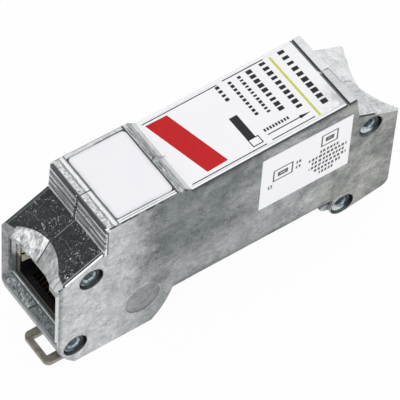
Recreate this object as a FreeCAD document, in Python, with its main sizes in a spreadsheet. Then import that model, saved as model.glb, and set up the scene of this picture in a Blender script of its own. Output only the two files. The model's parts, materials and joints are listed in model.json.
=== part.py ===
import FreeCAD, Part
import math
import os
from types import SimpleNamespace

import Sketcher

# Ethernet surge protector for a 35 mm mounting rail: two die-cast half shells, a shielded
# socket at each end, a fixed hook behind the rail and a sprung latch in front of it.
# Millimetres. X runs from the front socket to the rear one, Y from the near half shell to
# the far one, Z up. The origin is the middle of the seat on the rail, on the parting plane.

DIMENSIONS = (
    # housing, side view
    ("body_width", 19.0, "across both half shells"),
    ("rail_gap", 38.1, "recess over the rail, which is 35 wide"),
    ("front_block", 27.05, "front face to the recess"),
    ("rear_block", 13.89, "recess to the rear face"),
    ("foot_drop", 7.5, "seat down to the underside of the front block"),
    ("platform_height", 29.85, "seat up to the raised platform"),
    ("label_front_height", 28.4, "seat up to the label bed behind the platform"),
    ("rim_height", 29.5, "seat up to the rear rim"),
    ("step_setback", 10.4, "front face to the foot of the step"),
    ("step_height", 23.0, "seat up to the foot of the step"),
    ("step_lean", 0.35, "how far the step leans back"),
    ("face_height", 18.3, "seat up to the top of the front face"),
    ("platform_back", 17.9, "recess middle forward to the end of the platform"),
    ("platform_ramp", 1.9, "length of the ramp from platform to label bed"),
    ("rim_back", 22.0, "recess middle back to the rear edge of the rim"),
    ("rim_lean", 1.1, "how far the face behind the rim leans back"),
    ("rear_slope_height", 23.7, "seat up to the top of the rear slope"),
    ("rear_face_height", 19.2, "seat up to the top of the rear face"),
    ("rear_corner_radius", 2.2, "rounded corner below the rear face"),
    ("chin_setback", 4.5, "front face to the front of the underside"),
    ("chin_height", 2.5, "seat up to the foot of the front face"),
    ("chin_radius", 14.0, "curve between front face and underside"),
    ("heel_run", 4.75, "length of the curve behind the front block"),
    ("heel_radius", 16.0, "radius of the curve behind the front block"),
    ("wall", 1.3, "casting wall"),
    ("edge_break", 0.25, "bevel along the outer side edges"),
    ("seam_break", 0.1, "bevel along the parting line"),
    ("groove_width", 0.5, "cross groove between label and rim"),
    ("groove_depth", 0.6, "cross groove between label and rim"),
    ("step_channel_drop", 0.55, "platform down to the channel under its front edge"),
    ("step_channel_width", 0.6, "channel under the platform's front edge"),
    ("step_channel_depth", 0.5, "channel under the platform's front edge"),
    ("step_rib_pitch", 1.15, "fine lines across the face of the step"),
    ("step_rib_depth", 0.15, "fine lines across the face of the step"),
    ("step_rib_width", 0.4, "fine lines across the face of the step"),
    # plug mouths and thumb scoops
    ("mouth_depth", 2.0, "face to the socket"),
    ("mouth_rim", 0.35, "side face to the funnel's edge"),
    ("mouth_lap", 0.7, "how far the casting laps over the side of the socket"),
    ("mouth_sill_rise", 1.3, "board up to the funnel's sill at the socket"),
    ("mouth_roof_gap", 0.55, "roof of the socket up to the funnel's roof"),
    ("mouth_roof_rise", 1.3, "how far the funnel's roof rises to the face"),
    ("scoop_radius", 15.0, "round thumb scoop over the mouth"),
    ("scoop_tilt", 60.0, "angle of the scoop to the level"),
    ("scoop_bite", 4.66, "face to the deepest point of the scoop on the slope"),
    ("scoop_ear", 2.5, "side face to the front scoop, which leaves an ear on each side"),
    # hollow rivets
    ("rivet_radius", 1.5, "shank"),
    ("rivet_bore", 1.1, "bore radius"),
    ("rivet_head", 2.5, "head radius"),
    ("rivet_head_height", 0.5, "rolled head"),
    ("rivet_lip", 0.35, "rounded lip of the dished head"),
    ("rivet_recess", 2.65, "radius of the recess round a head"),
    ("rivet_recess_depth", 1.0, "depth of that recess"),
    ("rivet_clearance", 0.05, "gap round the shank"),
    ("front_upper_back", 7.72, "front face to the upper front rivet"),
    ("front_upper_rise", 2.15, "roof of the socket up to the upper front rivet"),
    ("front_lower_back", 4.55, "front face to the lower front rivet"),
    ("front_lower_drop", 2.0, "seat down to the lower front rivet"),
    ("rear_upper_inset", 6.7, "rear face to the upper rear rivet"),
    ("rear_upper_rise", 3.6, "roof of the socket up to the upper rear rivet"),
    ("hook_rivet_inset", 2.42, "recess wall back to the lower rear rivet"),
    ("hook_rivet_drop", 2.98, "seat down to the lower rear rivet"),
    ("boss_radius", 2.85, "round boss about the lower rear rivet"),
    ("underside_slope", 9.6, "angle of the rear underside, which runs off the boss"),
    # fixed hook
    ("rail_lip", 1.3, "room for the rail's edge under the seat"),
    ("hook_reach", 2.6, "hook nose in front of the recess wall"),
    ("hook_depth", 3.1, "height of the hook nose"),
    ("hook_radius", 2.9, "curve under the nose"),
    ("hook_setback", 1.2, "side face to the hook nose"),
    ("casting_mark_radius", 3.9, "round ejector mark on each side"),
    ("casting_mark_depth", 0.12, "round ejector mark on each side"),
    ("casting_mark_x", 7.25, "recess wall forward to the mark"),
    ("casting_mark_height", 1.8, "seat up to the mark"),
    # write-on plate and labels
    ("marker_length", 12.8, "write-on plate along X"),
    ("marker_rim", 1.2, "side face to the plate"),
    ("marker_thickness", 1.0, "write-on plate"),
    ("marker_recess", 0.9, "depth of its bed"),
    ("marker_inset", 1.6, "end of the platform to the plate"),
    ("marker_corner", 1.0, "rounded corners of the plate"),
    ("marker_gap", 0.1, "gap round the plate"),
    ("trough_width", 1.1, "hollow across the housing behind the plate"),
    ("trough_radius", 0.75, "hollow across the housing behind the plate"),
    ("trough_rim", 0.15, "end of the platform forward to the hollow"),
    ("top_label_length", 35.2, "film on the label bed"),
    ("top_label_rim", 0.7, "side face to the film"),
    ("label_film", 0.12, "thickness of both films"),
    ("label_gap", 0.3, "ramp to film"),
    ("side_label_length", 21.15, "film on the near side"),
    ("side_label_height", 15.2, "film on the near side"),
    ("side_label_back", 0.7, "rear edge of the rim forward to the film"),
    ("side_label_drop", 3.8, "rim down to the film"),
    # sockets
    ("socket_wall", 1.4, "casting beside the socket"),
    ("jack_height", 11.5, "board to the top of the shield"),
    ("jack_depth", 15.0, "face to the back of the shield"),
    ("jack_clearance", 0.1, "gap round the shield"),
    ("shield_sheet", 0.25, "shield metal"),
    ("port_half_width", 6.0, "window in the shield"),
    ("port_sill", 2.6, "board up to the window"),
    ("port_height", 7.9, "height of the window"),
    ("port_depth", 12.0, "plug space behind the face"),
    ("latch_notch_half", 3.1, "half width of the notch for the plug's clip"),
    ("latch_notch_height", 0.6, "height of that notch"),
    ("insert_gap", 0.05, "gap between insert and shield"),
    ("contact_pitch", 1.02, "eight contacts"),
    ("contact_width", 0.45, "one contact"),
    ("contact_sheet", 0.3, "one contact"),
    ("contact_rise", 3.0, "how far a contact stands up"),
    ("contact_bed", 1.3, "depth of the bed for the contacts"),
    ("contact_front", 1.8, "face to the bend of the contacts"),
    ("contact_length", 6.6, "run of the raised arm"),
    ("finger_sheet", 0.18, "side spring"),
    ("finger_height", 1.9, "side spring"),
    ("finger_pitch", 2.7, "two springs on each side"),
    ("finger_bow", 0.4, "how far a side spring stands in"),
    ("finger_length", 8.0, "side spring"),
    # board and parts on it
    ("board_thickness", 1.6, "circuit board"),
    ("board_gap", 0.3, "board edge to casting"),
    ("sheet_thickness", 0.4, "insulating sheet under the board"),
    ("tube_radius", 2.3, "gas discharge tube"),
    ("tube_length", 6.6, "gas discharge tube"),
    ("tube_cap", 0.9, "end cap"),
    ("tube_neck", 0.25, "how far the ceramic is let in"),
    ("tube_pitch", 9.5, "four tubes along the board"),
    ("tube_gap", 0.7, "casting to the tubes"),
    ("diode_length", 4.4, "clamping diode"),
    ("diode_width", 3.6, "clamping diode"),
    ("diode_height", 2.3, "clamping diode"),
    ("diode_gap", 1.5, "casting to the diodes"),
    ("resistor_length", 2.0, "coupling resistor"),
    ("resistor_width", 1.25, "coupling resistor"),
    ("resistor_height", 0.6, "coupling resistor"),
    # rail latch and its spring
    ("latch_sheet", 1.0, "steel plate"),
    ("latch_width", 8.5, "steel plate"),
    ("latch_rim", 1.4, "side face to the plate"),
    ("latch_floor", 0.8, "underside of the block to the plate"),
    ("latch_tab", 1.0, "tab in front of the front face"),
    ("latch_slot_length", 3.7, "slot for a screwdriver"),
    ("latch_slot_width", 5.0, "slot for a screwdriver"),
    ("latch_slot_web", 1.2, "tab edge to the slot"),
    ("latch_corner", 1.3, "rounded corners of the tab"),
    ("latch_bend", 0.5, "inside radius of the bends"),
    ("latch_nose", 4.45, "recess wall to the nose"),
    ("latch_nose_bevel", 0.7, "lead-in under the nose"),
    ("latch_gap", 0.15, "gap round the plate in its guides"),
    ("chamber_back", 5.35, "recess wall to the latch chamber"),
    ("chamber_wall", 1.0, "material round the lower front rivet"),
    ("chamber_roof", 0.2, "seat down to the roof of the latch chamber"),
    ("spring_radius", 1.6, "middle of the wire"),
    ("spring_wire", 0.25, "wire radius"),
    ("spring_turns", 5.0, "turns"),
    ("spring_gap", 0.1, "gap at each end of the spring"),
    ("spring_lift", 0.4, "plate to the coil"),
)

doc = FreeCAD.newDocument("EthernetSurgeProtector")
sheet = doc.addObject("Spreadsheet::Sheet", "Sizes")
for row, (alias, size, note) in enumerate(DIMENSIONS, start=1):
    sheet.set(f"A{row}", alias)
    sheet.set(f"B{row}", str(size))
    sheet.set(f"C{row}", note)
    sheet.setAlias(f"B{row}", alias)
doc.recompute()


class Size:
    """A length or angle: its value now, and the expression that ties it to the sheet."""

    def __init__(self, text, value):
        self.text = text
        self.value = value

    def __add__(self, other):
        other = sized(other)
        return Size(f"({self.text} + {other.text})", self.value + other.value)

    def __sub__(self, other):
        other = sized(other)
        return Size(f"({self.text} - {other.text})", self.value - other.value)

    def __mul__(self, other):
        other = sized(other)
        return Size(f"({self.text} * {other.text})", self.value * other.value)

    def __truediv__(self, other):
        other = sized(other)
        return Size(f"({self.text} / {other.text})", self.value / other.value)

    def __neg__(self):
        return self * -1

    def __radd__(self, other):
        return sized(other) + self

    def __rsub__(self, other):
        return sized(other) - self

    def __rmul__(self, other):
        return sized(other) * self


def sized(value):
    """A plain number or a Size, as a Size."""
    if isinstance(value, Size):
        return value
    return Size(f"({float(value)})", float(value))


def sine(angle):
    return Size(f"sin({angle.text})", math.sin(math.radians(angle.value)))


def cosine(angle):
    return Size(f"cos({angle.text})", math.cos(math.radians(angle.value)))


def tangent(angle):
    return Size(f"tan({angle.text})", math.tan(math.radians(angle.value)))


def root(area):
    return Size(f"sqrt({area.text})", math.sqrt(area.value))


d = SimpleNamespace(**{alias: Size(f"Sizes.{alias}", sheet.get(alias)) for alias, _, _ in DIMENSIONS})

# Places that several pieces share
HALF = d.body_width / 2
RAIL_WALL = d.rail_gap / 2
FRONT = -(RAIL_WALL + d.front_block)
REAR = RAIL_WALL + d.rear_block
FRONT_SOCKET = FRONT + d.mouth_depth
REAR_SOCKET = REAR - d.mouth_depth
FLOOR = d.wall
BOARD_BASE = FLOOR + d.sheet_thickness
BOARD_TOP = BOARD_BASE + d.board_thickness
CHAMBER_HALF = HALF - d.wall
SOCKET_HALF = HALF - d.socket_wall
JACK_HALF = SOCKET_HALF - d.jack_clearance
SOCKET_ROOF = BOARD_TOP + d.jack_height + d.jack_clearance
MOUTH_ROOF = SOCKET_ROOF + d.mouth_roof_gap
LABEL_FRONT = -d.platform_back + d.platform_ramp
CHAMBER_ROOF = d.label_front_height - d.wall
RIVETS = {
    "front_upper_rivet": (FRONT + d.front_upper_back, SOCKET_ROOF + d.front_upper_rise),
    "front_lower_rivet": (FRONT + d.front_lower_back, -d.front_lower_drop),
    "rear_upper_rivet": (REAR - d.rear_upper_inset, SOCKET_ROOF + d.rear_upper_rise),
    "rear_lower_rivet": (RAIL_WALL + d.hook_rivet_inset, -d.hook_rivet_drop),
}
LATCH_SIDE = HALF - d.latch_rim - d.latch_width / 2
PLATE_BASE = -d.foot_drop + d.latch_floor
PLATE_TOP = PLATE_BASE + d.latch_sheet
NOSE_TOP = -d.rail_lip
CHAMBER_REAR = -RAIL_WALL - d.chamber_back
CHAMBER_FRONT = FRONT + d.front_lower_back + d.rivet_radius + d.rivet_clearance + d.chamber_wall
WIRE_SIDES = 6


# Sketches and features

def new_body(name):
    body = doc.addObject("PartDesign::Body", name)
    body.Label = name
    return body


def new_sketch(body, name, role, lift=None):
    """A sketch on one of the body's own planes, moved along its normal by lift."""
    sketch = body.newObject("Sketcher::SketchObject", name)
    plane = next(item for item in body.Origin.OriginFeatures if item.Role == role)
    sketch.AttachmentSupport = [(plane, "")]
    sketch.MapMode = "FlatFace"
    if lift is not None:
        sketch.setExpression("AttachmentOffset.Base.z", lift.text)
    return sketch


def bind(sketch, constraint, value):
    index = sketch.addConstraint(constraint)
    sketch.setExpression(f"Constraints[{index}]", value.text)


def hold_point(sketch, geometry, vertex, u, v):
    """Holds a point of the sketch at two driven distances from its origin."""
    bind(sketch, Sketcher.Constraint("DistanceX", -1, 1, geometry, vertex, u.value), u)
    bind(sketch, Sketcher.Constraint("DistanceY", -1, 1, geometry, vertex, v.value), v)


def arc_between(start, end, radius, side):
    """The shorter arc from start to end with its centre on that side of the way."""
    chord = end - start
    across = FreeCAD.Vector(-chord.y, chord.x, 0).normalize()
    height = math.sqrt(radius ** 2 - (chord.Length / 2) ** 2)
    centre = (start + end) / 2 + across * (height if side == "left" else -height)
    circle = Part.Circle(centre, FreeCAD.Vector(0, 0, 1), radius)
    first, last = (start, end) if side == "left" else (end, start)
    return Part.ArcOfCircle(circle, circle.parameter(first), circle.parameter(last))


def draw_outline(sketch, corners):
    """Closed outline. A corner is (u, v), or (u, v, radius, side) where an arc starts."""
    corners = [tuple(sized(item) if not isinstance(item, str) else item for item in corner)
               for corner in corners]
    points = [FreeCAD.Vector(corner[0].value, corner[1].value, 0) for corner in corners]
    first = sketch.GeometryCount
    ends = []
    for index, corner in enumerate(corners):
        start = points[index]
        end = points[(index + 1) % len(points)]
        if len(corner) == 4:
            number = sketch.addGeometry(arc_between(start, end, corner[2].value, corner[3]))
            bind(sketch, Sketcher.Constraint("Radius", number, corner[2].value), corner[2])
            ends.append((1, 2) if corner[3] == "left" else (2, 1))
        else:
            sketch.addGeometry(Part.LineSegment(start, end))
            ends.append((1, 2))
    for index, corner in enumerate(corners):
        following = (index + 1) % len(corners)
        sketch.addConstraint(Sketcher.Constraint(
            "Coincident", first + index, ends[index][1], first + following, ends[following][0]))
        hold_point(sketch, first + index, ends[index][0], corner[0], corner[1])
    return sketch


def draw_circle(sketch, u, v, radius):
    centre = FreeCAD.Vector(u.value, v.value, 0)
    number = sketch.addGeometry(Part.Circle(centre, FreeCAD.Vector(0, 0, 1), radius.value))
    bind(sketch, Sketcher.Constraint("Radius", number, radius.value), radius)
    hold_point(sketch, number, 3, u, v)
    return sketch


def rectangle(u_low, u_high, v_low, v_high):
    return [(u_low, v_low), (u_high, v_low), (u_high, v_high), (u_low, v_high)]


def add_prism(body, name, sketch, length, reverse=False, both_ways=False):
    feature = body.newObject("PartDesign::Pad", name)
    feature.Profile = sketch
    feature.setExpression("Length", length.text)
    feature.Reversed = reverse
    if both_ways:
        feature.SideType = "Symmetric"
    return feature


def cut_prism(body, name, sketch, length, reverse=False, both_ways=False):
    feature = body.newObject("PartDesign::Pocket", name)
    feature.Profile = sketch
    feature.setExpression("Length", length.text)
    feature.Reversed = reverse
    if both_ways:
        feature.SideType = "Symmetric"
    return feature


def repeat(body, name, original, sketch_axis, spacing, count):
    """Copies a feature along an axis of its sketch, with the first one where it is."""
    pattern = body.newObject("PartDesign::LinearPattern", name)
    pattern.Originals = [original]
    pattern.Direction = sketch_axis
    pattern.setExpression("Length", (spacing * (count - 1)).text)
    pattern.Occurrences = count
    body.Tip = pattern
    return pattern


def edges_where(shape, test):
    """Names of the edges whose two ends and middle all pass a test."""
    names = []
    for number, edge in enumerate(shape.Edges, start=1):
        middle = edge.valueAt((edge.FirstParameter + edge.LastParameter) / 2)
        if all(test(point) for point in [vertex.Point for vertex in edge.Vertexes] + [middle]):
            names.append(f"Edge{number}")
    return names


def dress(body, kind, name, size, test):
    """A chamfer or a fillet on the edges of the last feature that pass a test."""
    doc.recompute()
    base = body.Tip
    feature = body.newObject(f"PartDesign::{kind}", name)
    feature.Base = (base, edges_where(base.Shape, test))
    feature.setExpression("Size" if kind == "Chamfer" else "Radius", size.text)
    return feature


def near(value, target):
    return abs(value - target) < 1e-4


def place(body, x=None, y=None, z=None, turn=0):
    """Moves a body to its seat; turn is about the vertical."""
    spin = FreeCAD.Rotation(FreeCAD.Vector(0, 0, 1), turn)
    body.Placement = FreeCAD.Placement(FreeCAD.Vector(0, 0, 0), spin)
    for axis, value in (("x", x), ("y", y), ("z", z)):
        if value is not None:
            body.setExpression(f"Placement.Base.{axis}", value.text)


# Half shells

BOSS_X, BOSS_Z = RIVETS["rear_lower_rivet"]
BOSS_FOOT = BOSS_X + d.boss_radius * sine(d.underside_slope)


def rear_underside(x):
    """Height of the rear underside at x: a line that runs off the boss without a kink."""
    foot = BOSS_Z - d.boss_radius * cosine(d.underside_slope)
    return foot + (x - BOSS_FOOT) * tangent(d.underside_slope)


def side_outline():
    """Side view of the housing, clockwise from the front of its underside."""
    boss_wall = BOSS_Z + root(d.boss_radius * d.boss_radius - d.hook_rivet_inset * d.hook_rivet_inset)
    return [
        (FRONT + d.chin_setback, -d.foot_drop, d.chin_radius, "right"),
        (FRONT, d.chin_height),
        (FRONT, d.face_height),
        (FRONT + d.step_setback, d.step_height),
        (FRONT + d.step_setback + d.step_lean, d.platform_height),
        (-d.platform_back, d.platform_height),
        (LABEL_FRONT, d.label_front_height),
        (d.rim_back, d.rim_height),
        (d.rim_back + d.rim_lean, d.rear_slope_height),
        (REAR, d.rear_face_height),
        (REAR, rear_underside(REAR)),
        (BOSS_FOOT, rear_underside(BOSS_FOOT), d.boss_radius, "right"),
        (RAIL_WALL, boss_wall),
        (RAIL_WALL, 0),
        (-RAIL_WALL, 0, d.heel_radius, "right"),
        (-RAIL_WALL - d.heel_run, -d.foot_drop),
    ]


def hook_outline():
    """Nose of the fixed hook, which grips the rear edge of the rail from below."""
    top = -d.rail_lip
    tip = RAIL_WALL - d.hook_reach
    return [
        (RAIL_WALL + d.hook_rivet_inset, top),
        (RAIL_WALL + d.hook_rivet_inset, top - d.hook_depth),
        (RAIL_WALL, top - d.hook_depth, d.hook_radius, "right"),
        (tip, top - d.rail_lip / 2),
        (tip, top),
    ]


def add_shell_block(body, near_half):
    outline = draw_outline(new_sketch(body, "SideView", "XZ_Plane"), side_outline())
    add_prism(body, "Block", outline, HALF, reverse=not near_half)
    corner = rear_underside(REAR)
    dress(body, "Fillet", "RearCorner", d.rear_corner_radius,
          lambda p: near(p.x, REAR.value) and near(p.z, corner.value))
    side = -HALF.value if near_half else HALF.value
    dress(body, "Chamfer", "SideEdges", d.edge_break, lambda p: near(p.y, side))
    dress(body, "Chamfer", "SeamEdges", d.seam_break, lambda p: near(p.y, 0))


def add_hook(body, near_half):
    nose = draw_outline(new_sketch(body, "HookView", "XZ_Plane"), hook_outline())
    add_prism(body, "Hook", nose, HALF - d.hook_setback, reverse=not near_half)


def cut_chambers(body, near_half):
    """Room for the board and both sockets, open to the parting plane."""
    middle = rectangle(FRONT + d.step_setback + d.step_lean + d.wall, d.rim_back - d.wall,
                       FLOOR, CHAMBER_ROOF)
    room = draw_outline(new_sketch(body, "ChamberView", "XZ_Plane"), middle)
    cut_prism(body, "Chamber", room, CHAMBER_HALF, reverse=near_half)
    ends = rectangle(FRONT_SOCKET, REAR_SOCKET, FLOOR, SOCKET_ROOF)
    room = draw_outline(new_sketch(body, "SocketView", "XZ_Plane"), ends)
    cut_prism(body, "SocketRoom", room, SOCKET_HALF, reverse=near_half)


def cut_mouth(body, name, face, socket):
    """Funnel from the end face to the socket, as wide as the housing allows."""
    face_half = HALF - d.mouth_rim
    at_face = rectangle(-face_half, face_half, d.chin_height, MOUTH_ROOF + d.mouth_roof_rise)
    socket_half = JACK_HALF - d.mouth_lap
    at_socket = rectangle(-socket_half, socket_half, BOARD_TOP + d.mouth_sill_rise, MOUTH_ROOF)
    outer = draw_outline(new_sketch(body, name + "Face", "YZ_Plane", face), at_face)
    inner = draw_outline(new_sketch(body, name + "Socket", "YZ_Plane", socket), at_socket)
    loft = body.newObject("PartDesign::SubtractiveLoft", name)
    loft.Profile = outer
    loft.Sections = [inner]
    loft.Ruled = True


def cut_scoop(body, name, face, slope_foot, slope_rise, ahead, half):
    """Round scoop for the thumb that presses the plug's clip, cut down along a tilted axis."""
    deep_x = face - d.scoop_bite * ahead
    deep_z = slope_foot + d.scoop_bite * slope_rise
    sketch = new_sketch(body, name + "View", "YZ_Plane")
    sketch.AttachmentOffset = FreeCAD.Placement(
        FreeCAD.Vector(0, 0, 0), FreeCAD.Rotation(FreeCAD.Vector(ahead, 0, 0), d.scoop_tilt.value))
    sketch.setExpression("AttachmentOffset.Rotation.Angle", d.scoop_tilt.text)
    sketch.setExpression("AttachmentOffset.Base.y", deep_z.text)
    sketch.setExpression("AttachmentOffset.Base.z", deep_x.text)
    sag = d.scoop_radius - root(d.scoop_radius * d.scoop_radius - half * half)
    draw_outline(sketch, [
        (-half, sag, d.scoop_radius, "left"),
        (half, sag),
        (half, d.scoop_radius),
        (-half, d.scoop_radius),
    ])
    cut_prism(body, name, sketch, (deep_z - MOUTH_ROOF) / sine(d.scoop_tilt), reverse=ahead > 0)


def cut_rivet_seats(body, near_half):
    holes = new_sketch(body, "RivetHoles", "XZ_Plane")
    for x, z in RIVETS.values():
        draw_circle(holes, x, z, d.rivet_radius + d.rivet_clearance)
    cut_prism(body, "RivetBores", holes, HALF, reverse=near_half)
    recesses = new_sketch(body, "RivetRecesses", "XZ_Plane", HALF if near_half else -HALF)
    for x, z in RIVETS.values():
        draw_circle(recesses, x, z, d.rivet_recess)
    cut_prism(body, "RivetSinks", recesses, d.rivet_recess_depth, reverse=not near_half)


def cut_casting_mark(body, near_half):
    mark = new_sketch(body, "MarkView", "XZ_Plane", HALF if near_half else -HALF)
    draw_circle(mark, -RAIL_WALL - d.casting_mark_x, d.casting_mark_height, d.casting_mark_radius)
    cut_prism(body, "CastingMark", mark, d.casting_mark_depth, reverse=not near_half)


def marker_span():
    rear = -d.platform_back - d.marker_inset
    return rear - d.marker_length, rear


def cut_top(body):
    """Bed of the write-on plate, and the grooves that run across both halves."""
    front, rear = marker_span()
    half = HALF - d.marker_rim + d.marker_gap
    bed = new_sketch(body, "BedView", "XY_Plane", d.platform_height)
    draw_outline(bed, rectangle(front - d.marker_gap, rear + d.marker_gap, -half, half))
    cut_prism(body, "Bed", bed, d.marker_recess)
    groove_front = LABEL_FRONT + d.label_gap * 2 + d.top_label_length
    groove = new_sketch(body, "GrooveView", "XZ_Plane")
    draw_outline(groove, rectangle(groove_front, groove_front + d.groove_width,
                                   d.rim_height - d.groove_depth, d.rim_height + d.wall))
    cut_prism(body, "Groove", groove, d.body_width * 2, both_ways=True)
    trough_rear = -d.platform_back - d.trough_rim
    trough = new_sketch(body, "TroughView", "XZ_Plane")
    draw_outline(trough, [
        (trough_rear - d.trough_width, d.platform_height, d.trough_radius, "left"),
        (trough_rear, d.platform_height),
    ])
    cut_prism(body, "Trough", trough, d.body_width * 2, both_ways=True)
    face = FRONT + d.step_setback + d.step_lean
    channel_top = d.platform_height - d.step_channel_drop
    channel_foot = channel_top - d.step_channel_width
    channel = new_sketch(body, "ChannelView", "XZ_Plane")
    draw_outline(channel, rectangle(face - d.wall, face + d.step_channel_depth, channel_foot, channel_top))
    cut_prism(body, "Channel", channel, d.body_width * 2, both_ways=True)
    line_top = channel_foot - d.step_rib_width
    lines = new_sketch(body, "LineView", "XZ_Plane")
    draw_outline(lines, rectangle(face - d.wall, face + d.step_rib_depth,
                                  line_top - d.step_rib_width, line_top))
    first = cut_prism(body, "Line", lines, d.body_width * 2, both_ways=True)
    downward = repeat(body, "Lines", first, (lines, ["V_Axis"]), d.step_rib_pitch, 4)
    downward.Reversed = True


def cut_latch_guide(body, near_half):
    """Slots and chamber that the rail latch slides in, open to the parting plane."""
    gap = d.latch_gap
    reach = LATCH_SIDE + d.latch_width / 2 + gap
    if not near_half:
        reach = d.latch_width / 2 - LATCH_SIDE + gap
    slot = rectangle(FRONT - d.wall, CHAMBER_REAR, PLATE_BASE - gap, PLATE_TOP + gap)
    room = rectangle(CHAMBER_FRONT, CHAMBER_REAR, PLATE_BASE - gap, -d.chamber_roof)
    mouth = rectangle(CHAMBER_REAR - d.wall, -RAIL_WALL + d.wall,
                      NOSE_TOP - d.latch_sheet - gap, NOSE_TOP + gap)
    for name, corners in (("Slot", slot), ("Room", room), ("NoseGate", mouth)):
        view = draw_outline(new_sketch(body, "Latch" + name + "View", "XZ_Plane"), corners)
        cut_prism(body, "Latch" + name, view, reach, reverse=near_half)


def build_half_shell(name, near_half):
    body = new_body(name)
    add_shell_block(body, near_half)
    add_hook(body, near_half)
    cut_chambers(body, near_half)
    cut_mouth(body, "FrontMouth", FRONT, FRONT_SOCKET)
    cut_mouth(body, "RearMouth", REAR, REAR_SOCKET)
    front_rise = (d.step_height - d.face_height) / d.step_setback
    rear_rise = (d.rear_slope_height - d.rear_face_height) / (REAR - d.rim_back - d.rim_lean)
    cut_scoop(body, "FrontScoop", FRONT, d.face_height, front_rise, -1, HALF - d.scoop_ear)
    cut_scoop(body, "RearScoop", REAR, d.rear_face_height, rear_rise, 1, HALF + d.edge_break)
    cut_rivet_seats(body, near_half)
    cut_casting_mark(body, near_half)
    cut_top(body)
    cut_latch_guide(body, near_half)
    return body


# Rivets

def build_rivet(name, x, z):
    """Hollow rivet with a dished, rolled head at both ends, turned about its own axis."""
    body = new_body(name)
    seat = HALF - d.rivet_recess_depth
    top = seat + d.rivet_head_height
    profile = new_sketch(body, "Profile", "XY_Plane")
    draw_outline(profile, [
        (d.rivet_bore, -seat),
        (d.rivet_bore, seat),
        (d.rivet_head - d.rivet_lip * 2, top),
        (d.rivet_head - d.rivet_lip, top),
        (d.rivet_head, seat),
        (d.rivet_radius, seat),
        (d.rivet_radius, -seat),
        (d.rivet_head, -seat),
        (d.rivet_head - d.rivet_lip, -top),
        (d.rivet_head - d.rivet_lip * 2, -top),
    ])
    turned = body.newObject("PartDesign::Revolution", "Shank")
    turned.Profile = profile
    turned.ReferenceAxis = (profile, ["V_Axis"])
    turned.Angle = 360
    place(body, x=x, z=z)
    return body


# Write-on plate and films

def build_marker_plate():
    body = new_body("marker_plate")
    front, rear = marker_span()
    half = HALF - d.marker_rim
    view = new_sketch(body, "PlateView", "XY_Plane", d.platform_height - d.marker_recess)
    draw_outline(view, rectangle(front, rear, -half, half))
    add_prism(body, "Plate", view, d.marker_thickness)
    dress(body, "Fillet", "Corners", d.marker_corner,
          lambda p: near(abs(p.y), half.value) and min(abs(p.x - front.value), abs(p.x - rear.value)) < 1e-4)
    return body


def bed_height(x):
    """Height of the sloping label bed at x."""
    rise = (d.rim_height - d.label_front_height) / (d.rim_back - LABEL_FRONT)
    return d.label_front_height + (x - LABEL_FRONT) * rise


def build_top_label():
    body = new_body("top_label")
    front = LABEL_FRONT + d.label_gap
    rear = front + d.top_label_length
    view = new_sketch(body, "FilmView", "XZ_Plane")
    draw_outline(view, [
        (front, bed_height(front)),
        (rear, bed_height(rear)),
        (rear, bed_height(rear) + d.label_film),
        (front, bed_height(front) + d.label_film),
    ])
    add_prism(body, "Film", view, (HALF - d.top_label_rim) * 2, both_ways=True)
    return body


def build_side_label():
    body = new_body("side_label")
    rear = d.rim_back - d.side_label_back
    top = d.rim_height - d.side_label_drop
    view = new_sketch(body, "FilmView", "XZ_Plane", HALF)
    draw_outline(view, rectangle(rear - d.side_label_length, rear, top - d.side_label_height, top))
    add_prism(body, "Film", view, d.label_film)
    return body


# Sockets: built with the face at x = 0 and the board at z = 0, then set at either end

def seat_socket(body, front):
    if front:
        place(body, x=FRONT_SOCKET + d.jack_clearance, z=BOARD_TOP)
    else:
        place(body, x=REAR_SOCKET - d.jack_clearance, z=BOARD_TOP, turn=180)
    return body


def window_outline(margin):
    """Port as seen from the front, with the notch for the plug's clip on top."""
    half = d.port_half_width - margin
    top = d.port_sill + d.port_height - margin
    notch = top + d.latch_notch_height
    return [
        (-half, d.port_sill + margin),
        (half, d.port_sill + margin),
        (half, top),
        (d.latch_notch_half, top),
        (d.latch_notch_half, notch),
        (-d.latch_notch_half, notch),
        (-d.latch_notch_half, top),
        (-half, top),
    ]


def build_shield(name, front):
    """Folded sheet round the insert, open below, with the port's window in front."""
    body = new_body(name)
    half = JACK_HALF
    sheet_gap = d.shield_sheet
    outside = new_sketch(body, "Outside", "XY_Plane")
    draw_outline(outside, rectangle(sized(0), d.jack_depth, -half, half))
    add_prism(body, "Box", outside, d.jack_height)
    inside = new_sketch(body, "Inside", "XY_Plane")
    draw_outline(inside, rectangle(sheet_gap, d.jack_depth - sheet_gap, -half + sheet_gap, half - sheet_gap))
    cut_prism(body, "Hollow", inside, d.jack_height - sheet_gap, reverse=True)
    window = draw_outline(new_sketch(body, "Window", "YZ_Plane"), window_outline(sized(0)))
    cut_prism(body, "Port", window, sheet_gap * 2, reverse=True)
    return seat_socket(body, front)


def build_insert(name, front):
    """Plastic insert with the plug space and a bed for the contacts."""
    body = new_body(name)
    skin = d.shield_sheet + d.insert_gap
    half = JACK_HALF - skin
    outside = new_sketch(body, "Outside", "XY_Plane")
    draw_outline(outside, rectangle(skin, d.jack_depth - skin, -half, half))
    add_prism(body, "Block", outside, d.jack_height - skin)
    port = draw_outline(new_sketch(body, "PortView", "YZ_Plane"), window_outline(d.insert_gap))
    cut_prism(body, "PlugSpace", port, d.port_depth, reverse=True)
    bed_half = d.contact_pitch * 4
    bed = new_sketch(body, "BedView", "XY_Plane", d.port_sill + d.insert_gap)
    draw_outline(bed, rectangle(d.contact_front - d.contact_sheet, d.port_depth, -bed_half, bed_half))
    cut_prism(body, "ContactBed", bed, d.contact_bed)
    return seat_socket(body, front)


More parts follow.
